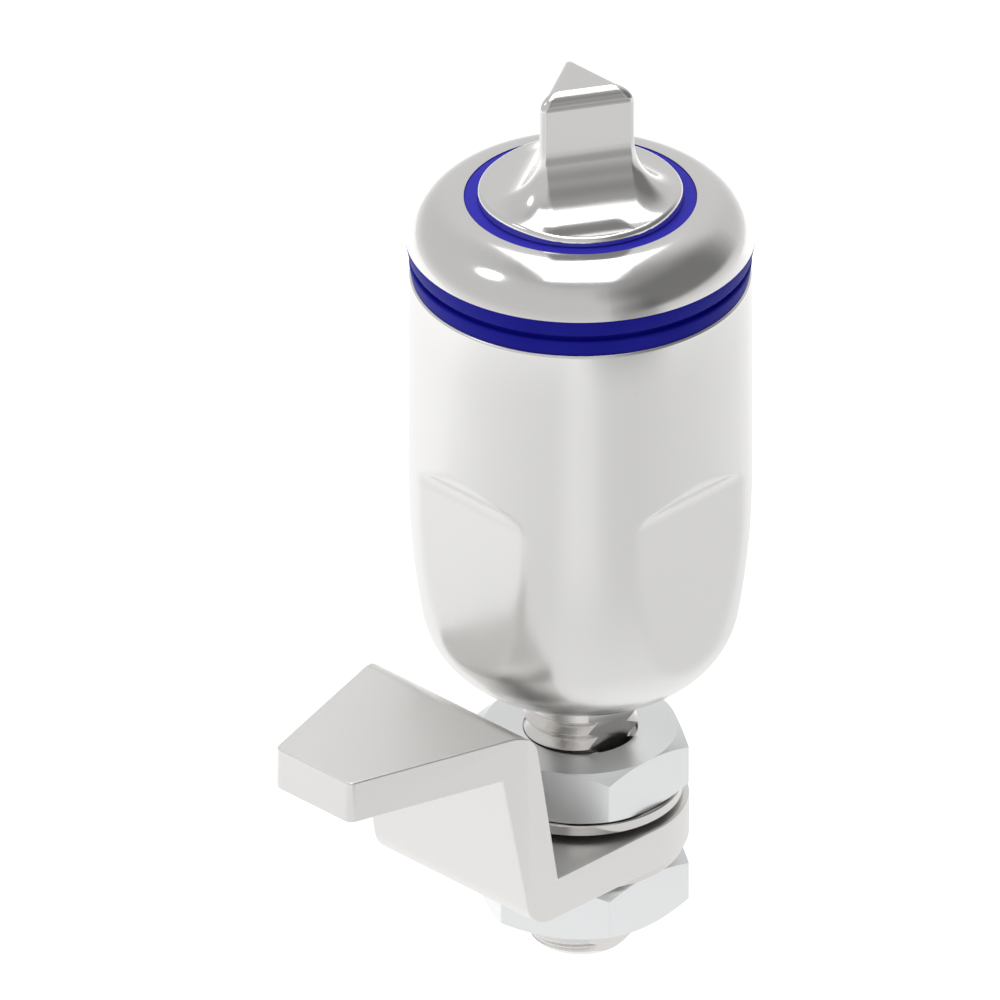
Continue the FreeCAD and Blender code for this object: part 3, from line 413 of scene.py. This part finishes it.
def thin_nut(name, top):
    """A thin hexagon nut with its upper face at a height in millimetres."""
    bottom = top - NUT_THICK
    bpy.ops.object.select_all(action="DESELECT")
    bpy.ops.mesh.primitive_cylinder_add(vertices=6, radius=NUT_ACROSS / math.sqrt(3.0) * MM,
                                        depth=(NUT_THICK + 1) * MM, location=(0, 0, (top + bottom) / 2 * MM),
                                        rotation=(0, 0, math.radians(30)))
    nut = bpy.context.object
    nut.name = name
    nut.data.name = name
    bpy.ops.object.transform_apply(location=True, rotation=True, scale=True)
    add_modifier(nut, "BEVEL", width=NUT_EDGE * MM, segments=3, limit_method="ANGLE",
                 angle_limit=math.radians(30))
    flat_radius, cone_radius = NUT_ACROSS / 2, 11.13
    form = turned("nut_form", [(0.0, top), (flat_radius, top), (cone_radius, top - NUT_CONE),
                               (cone_radius, bottom + NUT_CONE), (flat_radius, bottom), (0.0, bottom)])
    combine(nut, form, "INTERSECT")
    combine(nut, wound_thread("tap", top + 1.0, bottom - 1.0, extra=0.03), "DIFFERENCE")
    mouth = turned("mouth", [(0.0, top + 0.2), (MOUTH_RADIUS, top + 0.2), (MOUTH_RADIUS, top - MOUTH_DEPTH),
                             (NUT_BORE, top - MOUTH_DEPTH - 0.8), (NUT_BORE, bottom + 0.9),
                             (MOUTH_RADIUS, bottom + 0.1), (MOUTH_RADIUS, bottom - 0.2), (0.0, bottom - 0.2)])
    combine(nut, mouth, "DIFFERENCE")
    bpy.ops.object.shade_smooth_by_angle(angle=math.radians(24))
    add_modifier(nut, "WEIGHTED_NORMAL", keep_sharp=True)
    print(name, "has", len(nut.data.polygons), "faces and is", round(nut.dimensions.z / MM, 2), "mm thick")
    return nut


upper_nut = thin_nut("upper_jam_nut", UPPER_NUT_TOP)
lower_nut = thin_nut("lower_jam_nut", LOWER_NUT_TOP)
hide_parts("upper_nut")
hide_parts("lower_nut")
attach(upper_nut, "draw_shaft")
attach(lower_nut, "draw_shaft")

# %% [markdown]
# ## The spring washers
# Between the cam and each nut sits a hard spring washer, slightly dished, so that the nuts can't work loose.
# Its rim stands off the cam and shows as a polished band with a dark gap beneath it. It could be bent from a
# flat ring with a lattice, but the dish is round, so it is simply turned with its section drawn on a slope.

# %% Dished washers
WASHER_RADIUS, WASHER_BORE, WASHER_THICK = 9.0, 5.2, 1.0
WASHER_ROUND, HUB_ROUND = 0.08, 0.05
CAM_TOP, CAM_THICK = -54.3, 4.0
cam_bottom = CAM_TOP - CAM_THICK


def dished_washer(name, rim_top, hub_top):
    """A washer that slopes from its rim to its hub, which may lie lower."""
    rim_bottom, hub_bottom = rim_top - WASHER_THICK, hub_top - WASHER_THICK
    outer, inner = WASHER_RADIUS - WASHER_ROUND, WASHER_BORE + HUB_ROUND
    section = [(WASHER_BORE, hub_bottom + HUB_ROUND), (inner, hub_bottom), (outer, rim_bottom),
               (WASHER_RADIUS, rim_bottom + WASHER_ROUND), (WASHER_RADIUS, rim_top - WASHER_ROUND),
               (outer, rim_top), (inner, hub_top), (WASHER_BORE, hub_top - HUB_ROUND),
               (WASHER_BORE, hub_bottom + HUB_ROUND)]
    return turned(name, section, steps=144)


upper_washer = dished_washer("upper_dished_washer", UPPER_NUT_TOP - NUT_THICK, CAM_TOP + WASHER_THICK)
lower_washer = dished_washer("lower_dished_washer", cam_bottom, LOWER_NUT_TOP + WASHER_THICK)
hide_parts("upper_spring_washer")
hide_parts("lower_spring_washer")
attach(upper_washer, "draw_shaft")
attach(lower_washer, "draw_shaft")

# %% [markdown]
# ## The cam
# The cam is a four-millimetre plate, cut to its outline and bent twice. The side view is drawn with its two
# outer bends as arcs, closed with a face and extruded across the width. A plan-shaped tool keeps what lies
# inside the outline, a double-D tool makes the hole, and a bevel breaks the edges as blasting does.


# %% Outlines into plates
def plate(name, points, flat, reach):
    """A closed outline in millimetres, filled and extruded. It lies upright, or flat on its side."""
    low, high = reach
    piece = start_point(name, *points[0])
    draw_chain(points + [points[0]])
    bpy.ops.mesh.select_all(action="SELECT")
    bpy.ops.mesh.remove_doubles(threshold=0.000001)
    bpy.ops.mesh.edge_face_add()
    if flat:
        bpy.ops.transform.rotate(value=math.radians(90), orient_axis="X", center_override=(0, 0, 0))
        shift, across = (0, 0, low * MM), (0, 0, (high - low) * MM)
    else:
        shift, across = (0, low * MM, 0), (0, (high - low) * MM, 0)
    bpy.ops.transform.translate(value=shift)
    bpy.ops.mesh.extrude_region_move(TRANSFORM_OT_translate={"value": across})
    close_up()
    return piece


# %% Cam side view
CAM_HALF = 9.5
CAM_TIP_TOP = -38.4
CAM_TIP = -33.05
BEND_RADIUS = 3.0
WEB_SLOPE = 10.2
SPARE = 0.1
cam_side = [(CAM_HALF + SPARE, CAM_TOP), (-12.2, CAM_TOP)]
cam_side += arc(-17.569, CAM_TIP_TOP - BEND_RADIUS, BEND_RADIUS, WEB_SLOPE, 90, 14)
cam_side += [(-34.0, CAM_TIP_TOP), (-34.0, CAM_TIP_TOP - CAM_THICK), (-18.405, CAM_TIP_TOP - CAM_THICK)]
cam_side += arc(-13.036, cam_bottom + BEND_RADIUS, BEND_RADIUS, 180 + WEB_SLOPE, 270, 14)
cam_side += [(CAM_HALF + SPARE, cam_bottom)]
cam = plate("cranked_cam", cam_side, flat=False, reach=(-CAM_HALF - SPARE, CAM_HALF + SPARE))

# %% Cam plan
TIP_ROUND = 0.8
TIP_HALF = 3.999
TAPER_START, TAPER_DROP, TAPER_LENGTH = -16.1, 4.9, 16.95
tip_angle = math.degrees(math.atan2(TAPER_DROP, TAPER_LENGTH))
plan = arc(0, 0, CAM_HALF, -90, 90, 64)
plan += [(TAPER_START, CAM_HALF)]
plan += arc(CAM_TIP + TIP_ROUND, TIP_HALF, TIP_ROUND, 90 + tip_angle, 180, 8)
plan += arc(CAM_TIP + TIP_ROUND, -TIP_HALF, TIP_ROUND, 180, 270 - tip_angle, 8)
plan += [(TAPER_START, -CAM_HALF)]
plan_tool = plate("plan_tool", plan, flat=True, reach=(-60, -37))
combine(cam, plan_tool, "INTERSECT")

# %% Cam hole and edges
HOLE_RADIUS, HOLE_FLAT = 5.05, 4.05
CAM_EDGE = 0.16
hole_angle = math.degrees(math.asin(HOLE_FLAT / HOLE_RADIUS))
hole = arc(0, 0, HOLE_RADIUS, -hole_angle, hole_angle, 24)
hole += arc(0, 0, HOLE_RADIUS, 180 - hole_angle, 180 + hole_angle, 24)
combine(cam, plate("hole_tool", hole, flat=True, reach=(-60, -53)), "DIFFERENCE")
add_modifier(cam, "BEVEL", width=CAM_EDGE * MM, segments=3, limit_method="ANGLE",
             angle_limit=math.radians(30))
bpy.ops.object.shade_smooth_by_angle(angle=math.radians(35))
add_modifier(cam, "WEIGHTED_NORMAL", keep_sharp=True)
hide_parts("cam")
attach(cam, "draw_shaft")
print("cam has", len(cam.data.polygons), "faces")

# %% [markdown]
# ## The spring
# A compression spring keeps the shaft run out while the cam swings. Its wire is round, so a small circle is
# wound five times round the axis with a screw modifier and its ends are filled. As the shaft is drawn in, the
# coils close up towards the spindle.

# %% Spring
WIRE_RADIUS = 0.4
COIL_RADIUS = 3.35
COIL_START = -12.6
COIL_PITCH = 2.03
COILS = 5
bpy.ops.object.select_all(action="DESELECT")
bpy.ops.mesh.primitive_circle_add(vertices=14, radius=WIRE_RADIUS * MM,
                                  location=(COIL_RADIUS * MM, 0, COIL_START * MM),
                                  rotation=(math.radians(90), 0, 0))
spring = bpy.context.object
spring.name = "coil_spring"
spring.data.name = "coil_spring"
bpy.ops.object.transform_apply(location=True, rotation=True, scale=True)
add_modifier(spring, "SCREW", angle=math.tau, screw_offset=COIL_PITCH * MM, iterations=COILS, steps=48,
             render_steps=48, use_merge_vertices=True, merge_threshold=0.000001)
bpy.ops.object.mode_set(mode="EDIT")
bpy.ops.mesh.select_all(action="SELECT")
bpy.ops.mesh.fill_holes(sides=0)
close_up()
bpy.ops.object.shade_smooth_by_angle(angle=math.radians(50))
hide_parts("compression_spring")
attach(spring, "rotor")
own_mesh(spring)
print("spring has", len(spring.data.polygons), "faces")

# %% [markdown]
# ## Metal finishes
# Nearly all the metal is stainless steel, and its finishes differ in how fine the surface is. A metal has no
# colour of its own apart from its reflection, so the base colour is set once on the shader and the work is in
# roughness and bump. Polishing leaves a faint mottle, brushing leaves long streaks, the lathe and the
# grinding wheel leave rings and lines, and blasting leaves a fine grain. Each is a noise on Object
# coordinates, stretched by a Mapping node: a small scale along one axis makes long streaks along it. The
# renderer's noise filter treats a metal as a mirror below a roughness of about 0.27 and as dull above it, and
# a finish that crosses that value comes out with fine scratches, so each finish keeps to one side.


# %% A helper for metals
RELIEF = 0.01


def metal(name, colour, rough_low, rough_high, stretch, detail, bump):
    """A metal whose roughness and bump follow one stretched noise."""
    material = bpy.data.materials.new(name)
    material.use_nodes = True
    nodes, links = material.node_tree.nodes, material.node_tree.links
    shader = nodes["Principled BSDF"]
    shader.inputs["Base Color"].default_value = (*colour, 1)
    shader.inputs["Metallic"].default_value = 1.0
    place = nodes.new("ShaderNodeTexCoord")
    mapping = nodes.new("ShaderNodeMapping")
    mapping.inputs["Scale"].default_value = stretch
    links.new(place.outputs["Object"], mapping.inputs["Vector"])
    grain = nodes.new("ShaderNodeTexNoise")
    grain.inputs["Scale"].default_value = 1.0
    grain.inputs["Detail"].default_value = detail
    links.new(mapping.outputs["Vector"], grain.inputs["Vector"])
    rough = nodes.new("ShaderNodeMapRange")
    rough.inputs["From Min"].default_value = 0.3
    rough.inputs["From Max"].default_value = 0.7
    rough.inputs["To Min"].default_value = rough_low
    rough.inputs["To Max"].default_value = rough_high
    links.new(grain.outputs["Fac"], rough.inputs["Value"])
    links.new(rough.outputs["Result"], shader.inputs["Roughness"])
    relief = nodes.new("ShaderNodeBump")
    relief.inputs["Strength"].default_value = bump
    relief.inputs["Distance"].default_value = RELIEF * MM
    links.new(grain.outputs["Fac"], relief.inputs["Height"])
    links.new(relief.outputs["Normal"], shader.inputs["Normal"])
    return material


# %% Mix the metals
polished = metal("polished_steel", (0.765, 0.76, 0.752), 0.12, 0.16, (300, 300, 300), 2.0, 0.02)
satin = metal("satin_steel", (0.80, 0.797, 0.788), 0.22, 0.27, (1300, 1300, 14), 2.0, 0.06)
nut_steel = metal("ground_nut_steel", (0.90, 0.92, 0.93), 0.28, 0.36, (120, 120, 4500), 2.0, 1.0)
cam_steel = metal("blasted_cam_steel", (0.83, 0.822, 0.81), 0.28, 0.46, (6500, 6500, 6500), 2.0, 0.36)
shaft_steel = metal("turned_shaft_steel", (0.81, 0.79, 0.77), 0.18, 0.26, (200, 200, 3000), 2.0, 0.05)
washer_steel = metal("spring_steel", (0.79, 0.775, 0.755), 0.08, 0.14, (200, 200, 4000), 3.0, 0.04)
inner_steel = metal("turned_inner_steel", (0.68, 0.68, 0.67), 0.28, 0.34, (150, 150, 2400), 2.0, 0.10)
bronze = metal("bearing_bronze", (0.72, 0.48, 0.24), 0.28, 0.40, (500, 500, 1800), 3.0, 0.15)

# %% [markdown]
# ## Rubber finishes
# The gaskets are coloured food-grade rubber, moulded and then wiped clean. They are matt with a slight sheen
# where the mould was polished. A slow noise shifts the colour a little, as pigment does, and a fine one gives
# the surface its skin.


# %% A helper for rubber
def rubber(name, dark, light, roughness):
    """Rubber whose colour drifts between two near tones."""
    material = bpy.data.materials.new(name)
    material.use_nodes = True
    nodes, links = material.node_tree.nodes, material.node_tree.links
    shader = nodes["Principled BSDF"]
    shader.inputs["Specular IOR Level"].default_value = 0.13
    place = nodes.new("ShaderNodeTexCoord")
    drift = nodes.new("ShaderNodeTexNoise")
    drift.inputs["Scale"].default_value = 180.0
    drift.inputs["Detail"].default_value = 3.0
    links.new(place.outputs["Object"], drift.inputs["Vector"])
    tones = nodes.new("ShaderNodeValToRGB")
    tones.color_ramp.elements[0].position = 0.35
    tones.color_ramp.elements[0].color = (*dark, 1)
    tones.color_ramp.elements[1].position = 0.65
    tones.color_ramp.elements[1].color = (*light, 1)
    links.new(drift.outputs["Fac"], tones.inputs["Fac"])
    links.new(tones.outputs["Color"], shader.inputs["Base Color"])
    skin = nodes.new("ShaderNodeTexNoise")
    skin.inputs["Scale"].default_value = 2500.0
    skin.inputs["Detail"].default_value = 2.0
    links.new(place.outputs["Object"], skin.inputs["Vector"])
    rough = nodes.new("ShaderNodeMapRange")
    rough.inputs["To Min"].default_value = roughness - 0.06
    rough.inputs["To Max"].default_value = roughness + 0.06
    links.new(skin.outputs["Fac"], rough.inputs["Value"])
    links.new(rough.outputs["Result"], shader.inputs["Roughness"])
    relief = nodes.new("ShaderNodeBump")
    relief.inputs["Strength"].default_value = 0.1
    relief.inputs["Distance"].default_value = RELIEF * MM
    links.new(skin.outputs["Fac"], relief.inputs["Height"])
    links.new(relief.outputs["Normal"], shader.inputs["Normal"])
    return material


deep_blue = rubber("deep_blue_rubber", (0.007, 0.008, 0.350), (0.011, 0.012, 0.390), 0.52)
bright_blue = rubber("bright_blue_rubber", (0.026, 0.022, 0.500), (0.032, 0.027, 0.530), 0.42)
black_rubber = rubber("black_rubber", (0.012, 0.012, 0.013), (0.018, 0.018, 0.019), 0.50)


# %% Dress the pieces
def dress(piece, material):
    """Give a piece one material."""
    piece.data.materials.clear()
    piece.data.materials.append(material)


new_pieces = {
    front_gasket: deep_blue, rear_gasket: deep_blue, face_seal: bright_blue, cup: satin,
    shaft: shaft_steel, upper_nut: nut_steel, lower_nut: nut_steel, cam: cam_steel, spring: washer_steel,
    upper_washer: washer_steel, lower_washer: washer_steel,
}
for piece, material in new_pieces.items():
    dress(piece, material)
slot_of = {
    "head_housing": polished, "key_spindle": polished, "cup_nut": satin, "shaft": shaft_steel,
    "upper_nut": nut_steel, "lower_nut": nut_steel, "cam": cam_steel,
    "upper_spring_washer": washer_steel, "lower_spring_washer": washer_steel,
    "barrel_retaining_ring": washer_steel, "spindle_retaining_ring": washer_steel,
    "compression_spring": washer_steel, "guide_sleeve": inner_steel, "spring_seat": inner_steel,
    "cross_pin": inner_steel, "thrust_washer": bronze, "end_bush": bronze,
    "front_gasket": deep_blue, "rear_gasket": deep_blue, "face_seal": bright_blue,
    "spindle_o_ring": black_rubber, "shaft_o_ring": black_rubber,
}
for node_name, material in slot_of.items():
    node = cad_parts[node_name]
    for slot in node.material_slots:
        slot.material = material
print("dressed", len(new_pieces), "new pieces and", len(slot_of), "CAD nodes")

# %% [markdown]
# ## Slots
# Each new piece is given the same material as the CAD node that it stands for.

# %% [markdown]
# ## The studio
# Polished metal shows its surroundings, so the room matters as much as the metal. The walls are an even light
# grey that gets lighter towards the horizon, a long soft box hangs overhead and behind, a small round lamp
# stands at the left and a dark card at the right gives the dome its grey side. The walls could be planes with
# materials, but a world shader that reads only the direction has no corners and costs less. The camera sees
# the world and the floor as white.

# %% World
scene = bpy.context.scene
scene.view_settings.view_transform = "Standard"
world = bpy.data.worlds.new("studio")
scene.world = world
world.use_nodes = True
nodes, links = world.node_tree.nodes, world.node_tree.links
nodes.clear()


def tree_node(kind, **values):
    """A node in the tree that is being built, with its unlinked sockets set by name."""
    node = nodes.new(kind)
    for key, value in values.items():
        node.inputs[key.replace("_", " ")].default_value = value
    return node


direction = nodes.new("ShaderNodeTexCoord")
axes = nodes.new("ShaderNodeSeparateXYZ")
links.new(direction.outputs["Generated"], axes.inputs["Vector"])
height = tree_node("ShaderNodeMapRange", From_Min=-1.0, From_Max=1.0)
links.new(axes.outputs["Z"], height.inputs["Value"])
walls = nodes.new("ShaderNodeValToRGB")
ramp = walls.color_ramp
ramp.elements[0].position = 0.40
ramp.elements[0].color = (1.0, 1.0, 1.0, 1)
ramp.elements[1].position = 0.50
ramp.elements[1].color = (0.88, 0.875, 0.87, 1)
for position, tone in ((0.56, 0.71), (0.62, 0.675), (0.85, 0.665), (0.933, 0.62), (0.97, 0.50)):
    ramp.elements.new(position).color = (tone, tone * 0.995, tone * 0.985, 1)
links.new(height.outputs["Result"], walls.inputs["Fac"])

# %% [markdown]
# ### The dark cards
# A card is a soft rectangle round one direction. Turned so that this direction becomes X, the other two parts
# of the direction divided by X say how far off the middle a ray is, and smooth steps fade the edges. A large
# card stands at the right, and a small one beside it reaches down to the horizon. With a darkness below zero,
# the same nodes brighten the wall behind the latch a little.

# %% Helpers for numbers in a tree
def tree_math(operation, first, second=None):
    """A math node fed by sockets or numbers."""
    node = nodes.new("ShaderNodeMath")
    node.operation = operation
    for index, source in enumerate((first, second)):
        if source is None:
            continue
        if isinstance(source, (int, float)):
            node.inputs[index].default_value = source
        else:
            links.new(source, node.inputs[index])
    return node.outputs["Value"]


def fade(source, low, high, amount=1.0):
    """An amount inside a limit and nothing outside it, with a smooth edge."""
    node = tree_node("ShaderNodeMapRange", From_Min=low, From_Max=high, To_Min=amount, To_Max=0.0)
    node.interpolation_type = "SMOOTHSTEP"
    links.new(source, node.inputs["Value"])
    return node.outputs["Result"]


# %% A soft card
def soft_card(azimuth, tilt, sides, top, bottom, darkness):
    """How much light is left behind a card round a direction, with fades for its sides, top and bottom."""
    turned_to = tree_node("ShaderNodeVectorRotate", Angle=math.radians(-azimuth))
    turned_to.rotation_type = "Z_AXIS"
    links.new(direction.outputs["Generated"], turned_to.inputs["Vector"])
    tilted = tree_node("ShaderNodeVectorRotate", Angle=math.radians(tilt))
    tilted.rotation_type = "Y_AXIS"
    links.new(turned_to.outputs["Vector"], tilted.inputs["Vector"])
    parts = nodes.new("ShaderNodeSeparateXYZ")
    links.new(tilted.outputs["Vector"], parts.inputs["Vector"])
    ahead = tree_math("MAXIMUM", parts.outputs["X"], 0.001)
    off_side = tree_math("ABSOLUTE", tree_math("DIVIDE", parts.outputs["Y"], ahead))
    over = tree_math("DIVIDE", parts.outputs["Z"], ahead)
    under = tree_math("MULTIPLY", over, -1.0)
    rows = tree_math("MULTIPLY", fade(over, *top), fade(under, *bottom))
    card = tree_math("MULTIPLY", fade(off_side, *sides), rows)
    return tree_math("SUBTRACT", 1.0, tree_math("MULTIPLY", card, darkness))


# %% Two cards and a glow in the world
large_card = soft_card(CAMERA_AZIMUTH + 78, 33, (0.40, 1.35), (0.25, 1.1), (0.32, 0.47), 0.68)
small_card = soft_card(CAMERA_AZIMUTH + 36, 4, (0.12, 0.42), (0.20, 0.60), (0.18, 0.40), 0.42)
back_glow = soft_card(CAMERA_AZIMUTH + 180, 34, (0.2, 0.7), (0.15, 0.5), (0.3, 0.7), -0.09)
card_strength = tree_math("MULTIPLY", tree_math("MULTIPLY", large_card, small_card), back_glow)

# %% World output
seen = nodes.new("ShaderNodeBackground")
seen.inputs["Color"].default_value = (1, 1, 1, 1)
room = nodes.new("ShaderNodeBackground")
links.new(walls.outputs["Color"], room.inputs["Color"])
links.new(card_strength, room.inputs["Strength"])
path = nodes.new("ShaderNodeLightPath")
choose = nodes.new("ShaderNodeMixShader")
links.new(path.outputs["Is Camera Ray"], choose.inputs["Fac"])
links.new(room.outputs["Background"], choose.inputs[1])
links.new(seen.outputs["Background"], choose.inputs[2])
output = nodes.new("ShaderNodeOutputWorld")
links.new(choose.outputs["Shader"], output.inputs["Surface"])


# %% [markdown]
# ### Lamps
# Area lamps give soft shadows and show as bright shapes in the metal. They are placed by the direction in
# which the dome reflects them, and hidden from the camera.

# %% Lamps
def soft_box(name, place, size, aim, radiance, shape="RECTANGLE"):
    """An area lamp of a size in metres that looks at a point."""
    bpy.ops.object.select_all(action="DESELECT")
    bpy.ops.object.light_add(type="AREA", location=place)
    lamp = bpy.context.object
    lamp.name = name
    lamp.data.shape = shape
    lamp.data.size, lamp.data.size_y = size
    area = size[0] * size[1] * (math.pi / 4 if shape in ("DISK", "ELLIPSE") else 1)
    lamp.data.energy = radiance * math.pi * area
    lamp.rotation_euler = (Vector(aim) - Vector(place)).to_track_quat("-Z", "Y").to_euler()
    lamp.visible_camera = False
    print(name, "gives", round(lamp.data.energy, 2), "W")
    return lamp


LAMP_DISTANCE = 0.5
LAMP_RADIANCE = 1.9
BEHIND = 0.157 * math.sqrt(0.5)
overhead = soft_box("overhead_box", (BEHIND, BEHIND, LAMP_DISTANCE), (0.26, 0.546), (BEHIND, BEHIND, 0.0),
                    LAMP_RADIANCE)
overhead.rotation_euler = (0, 0, math.radians(CAMERA_AZIMUTH - 270))
lamp_azimuth, lamp_height = math.radians(CAMERA_AZIMUTH - 82), math.radians(48)
lamp_place = (LAMP_DISTANCE * math.cos(lamp_height) * math.cos(lamp_azimuth),
              LAMP_DISTANCE * math.cos(lamp_height) * math.sin(lamp_azimuth),
              LAMP_DISTANCE * math.sin(lamp_height))
soft_box("round_lamp", lamp_place, (0.13, 0.13), (0, 0, 0), LAMP_RADIANCE, shape="DISK")

# %% [markdown]
# ### Floor
# A wide pale floor lies under the latch, and the cup and the cam mirror it, so the floor sets their tones.
# Its grey is painted shade, darker towards the dark card and lighter away from it. In mirrors it also glows,
# which is painted light: most close to the latch, less about a hand's width out, more again far out, a little
# on the side away from the card, and along a stripe towards the camera. Next to the card, from about 20
# centimetres out, painted shade darkens its grey and its glow. A plain glow is added for camera rays, so that
# the floor reads as white and still keeps the object's shadow.

# %% Floor disc
FLOOR_DROP, FLOOR_RADIUS = 0.12, 2.0
bpy.ops.object.select_all(action="DESELECT")
bpy.ops.mesh.primitive_circle_add(vertices=96, radius=FLOOR_RADIUS, fill_type="NGON", location=(0, 0, 0))
floor = bpy.context.object
floor.name = "floor"
floor.data.name = "floor"
bpy.ops.object.mode_set(mode="EDIT")
bpy.ops.mesh.select_all(action="SELECT")
bpy.ops.transform.translate(value=(0, 0, -FLOOR_DROP))
bpy.ops.object.mode_set(mode="OBJECT")
print("floor is", round(floor.dimensions.x, 2), "m across")

# %% Places on the floor
paper = bpy.data.materials.new("pale_floor")
paper.use_nodes = True
nodes, links = paper.node_tree.nodes, paper.node_tree.links
place = nodes.new("ShaderNodeTexCoord")
distance = nodes.new("ShaderNodeVectorMath")
distance.operation = "LENGTH"
links.new(place.outputs["Object"], distance.inputs[0])
reach = distance.outputs["Value"]


def floor_axes(angle):
    """The floor's own X and Y, turned by an angle in degrees."""
    mapping = tree_node("ShaderNodeMapping", Rotation=(0, 0, math.radians(angle)))
    links.new(place.outputs["Object"], mapping.inputs["Vector"])
    parts = nodes.new("ShaderNodeSeparateXYZ")
    links.new(mapping.outputs["Vector"], parts.inputs["Vector"])
    return parts.outputs


from_card = floor_axes(150 - CAMERA_AZIMUTH)
from_camera = floor_axes(180 - CAMERA_AZIMUTH)

# %% Painted shade in the floor's grey
# Painted shade: the floor's base colour is a darker grey towards the dark card.
far = tree_node("ShaderNodeMapRange", From_Min=-0.18, From_Max=0.14)
links.new(from_card["X"], far.inputs["Value"])
painted_shade_greys = nodes.new("ShaderNodeValToRGB")
painted_shade_greys.color_ramp.elements[0].color = (0.72, 0.72, 0.715, 1)
painted_shade_greys.color_ramp.elements[1].color = (0.97, 0.97, 0.97, 1)
links.new(far.outputs["Result"], painted_shade_greys.inputs["Fac"])

# %% Glow of the floor
CLOSE_GLOW, STRIPE_GLOW, FAR_GLOW = 1.5, 0.16, 0.12
outwards = nodes.new("ShaderNodeValToRGB")
outwards.color_ramp.elements[0].color = (1.0, 1.0, 1.0, 1)
outwards.color_ramp.elements[1].color = (0.40, 0.40, 0.40, 1)
outwards.color_ramp.elements[0].position = 0.06
outwards.color_ramp.elements[1].position = 0.50
for position, tone in ((0.09, 0.48), (0.12, 0.265), (0.18, 0.145)):
    outwards.color_ramp.elements.new(position).color = (tone, tone, tone, 1)
links.new(reach, outwards.inputs["Fac"])
stripe = fade(tree_math("ABSOLUTE", from_camera["Y"]), 0.020, 0.055, STRIPE_GLOW)
near_side = fade(from_camera["X"], -0.17, -0.10)
far_side = fade(from_card["X"], 0.16, 0.02, FAR_GLOW)
lit = tree_math("MULTIPLY", outwards.outputs["Color"], CLOSE_GLOW)
lit = tree_math("ADD", lit, tree_math("MULTIPLY", stripe, near_side))
lit = tree_math("ADD", lit, far_side)

# %% Shade beside the card
SHADE = 0.62
towards_card = tree_math("DIVIDE", from_card["X"], tree_math("MAXIMUM", reach, 0.001))
beside_card = fade(towards_card, -0.97, -0.80)
beyond = tree_math("SUBTRACT", 1.0, fade(reach, 0.22, 0.50))
shaded = tree_math("MULTIPLY", tree_math("MULTIPLY", beside_card, beyond), SHADE)
shade = tree_math("SUBTRACT", 1.0, shaded)
lit = tree_math("MULTIPLY", lit, shade)
# Painted shade beside the card also darkens the floor's base colour.
shaded_grey = nodes.new("ShaderNodeMix")
shaded_grey.data_type = "RGBA"
shaded_grey.blend_type = "MULTIPLY"
shaded_grey.inputs["Factor"].default_value = 1.0
links.new(painted_shade_greys.outputs["Color"], shaded_grey.inputs["A"])
links.new(shade, shaded_grey.inputs["B"])

# %% Floor material
CAMERA_GLOW = 0.6
path = nodes.new("ShaderNodeLightPath")
matt = nodes["Principled BSDF"]
matt.inputs["Roughness"].default_value = 0.9
matt.inputs["Specular IOR Level"].default_value = 0.1
links.new(shaded_grey.outputs["Result"], matt.inputs["Base Color"])
mirrored = tree_math("MULTIPLY", path.outputs["Is Glossy Ray"], lit)
seen_white = tree_math("MULTIPLY", path.outputs["Is Camera Ray"], CAMERA_GLOW)
glow = tree_node("ShaderNodeEmission", Color=(1, 1, 1, 1))
links.new(tree_math("ADD", seen_white, mirrored), glow.inputs["Strength"])
add = nodes.new("ShaderNodeAddShader")
links.new(matt.outputs["BSDF"], add.inputs[0])
links.new(glow.outputs["Emission"], add.inputs[1])
links.new(add.outputs["Shader"], nodes["Material Output"].inputs["Surface"])
dress(floor, paper)
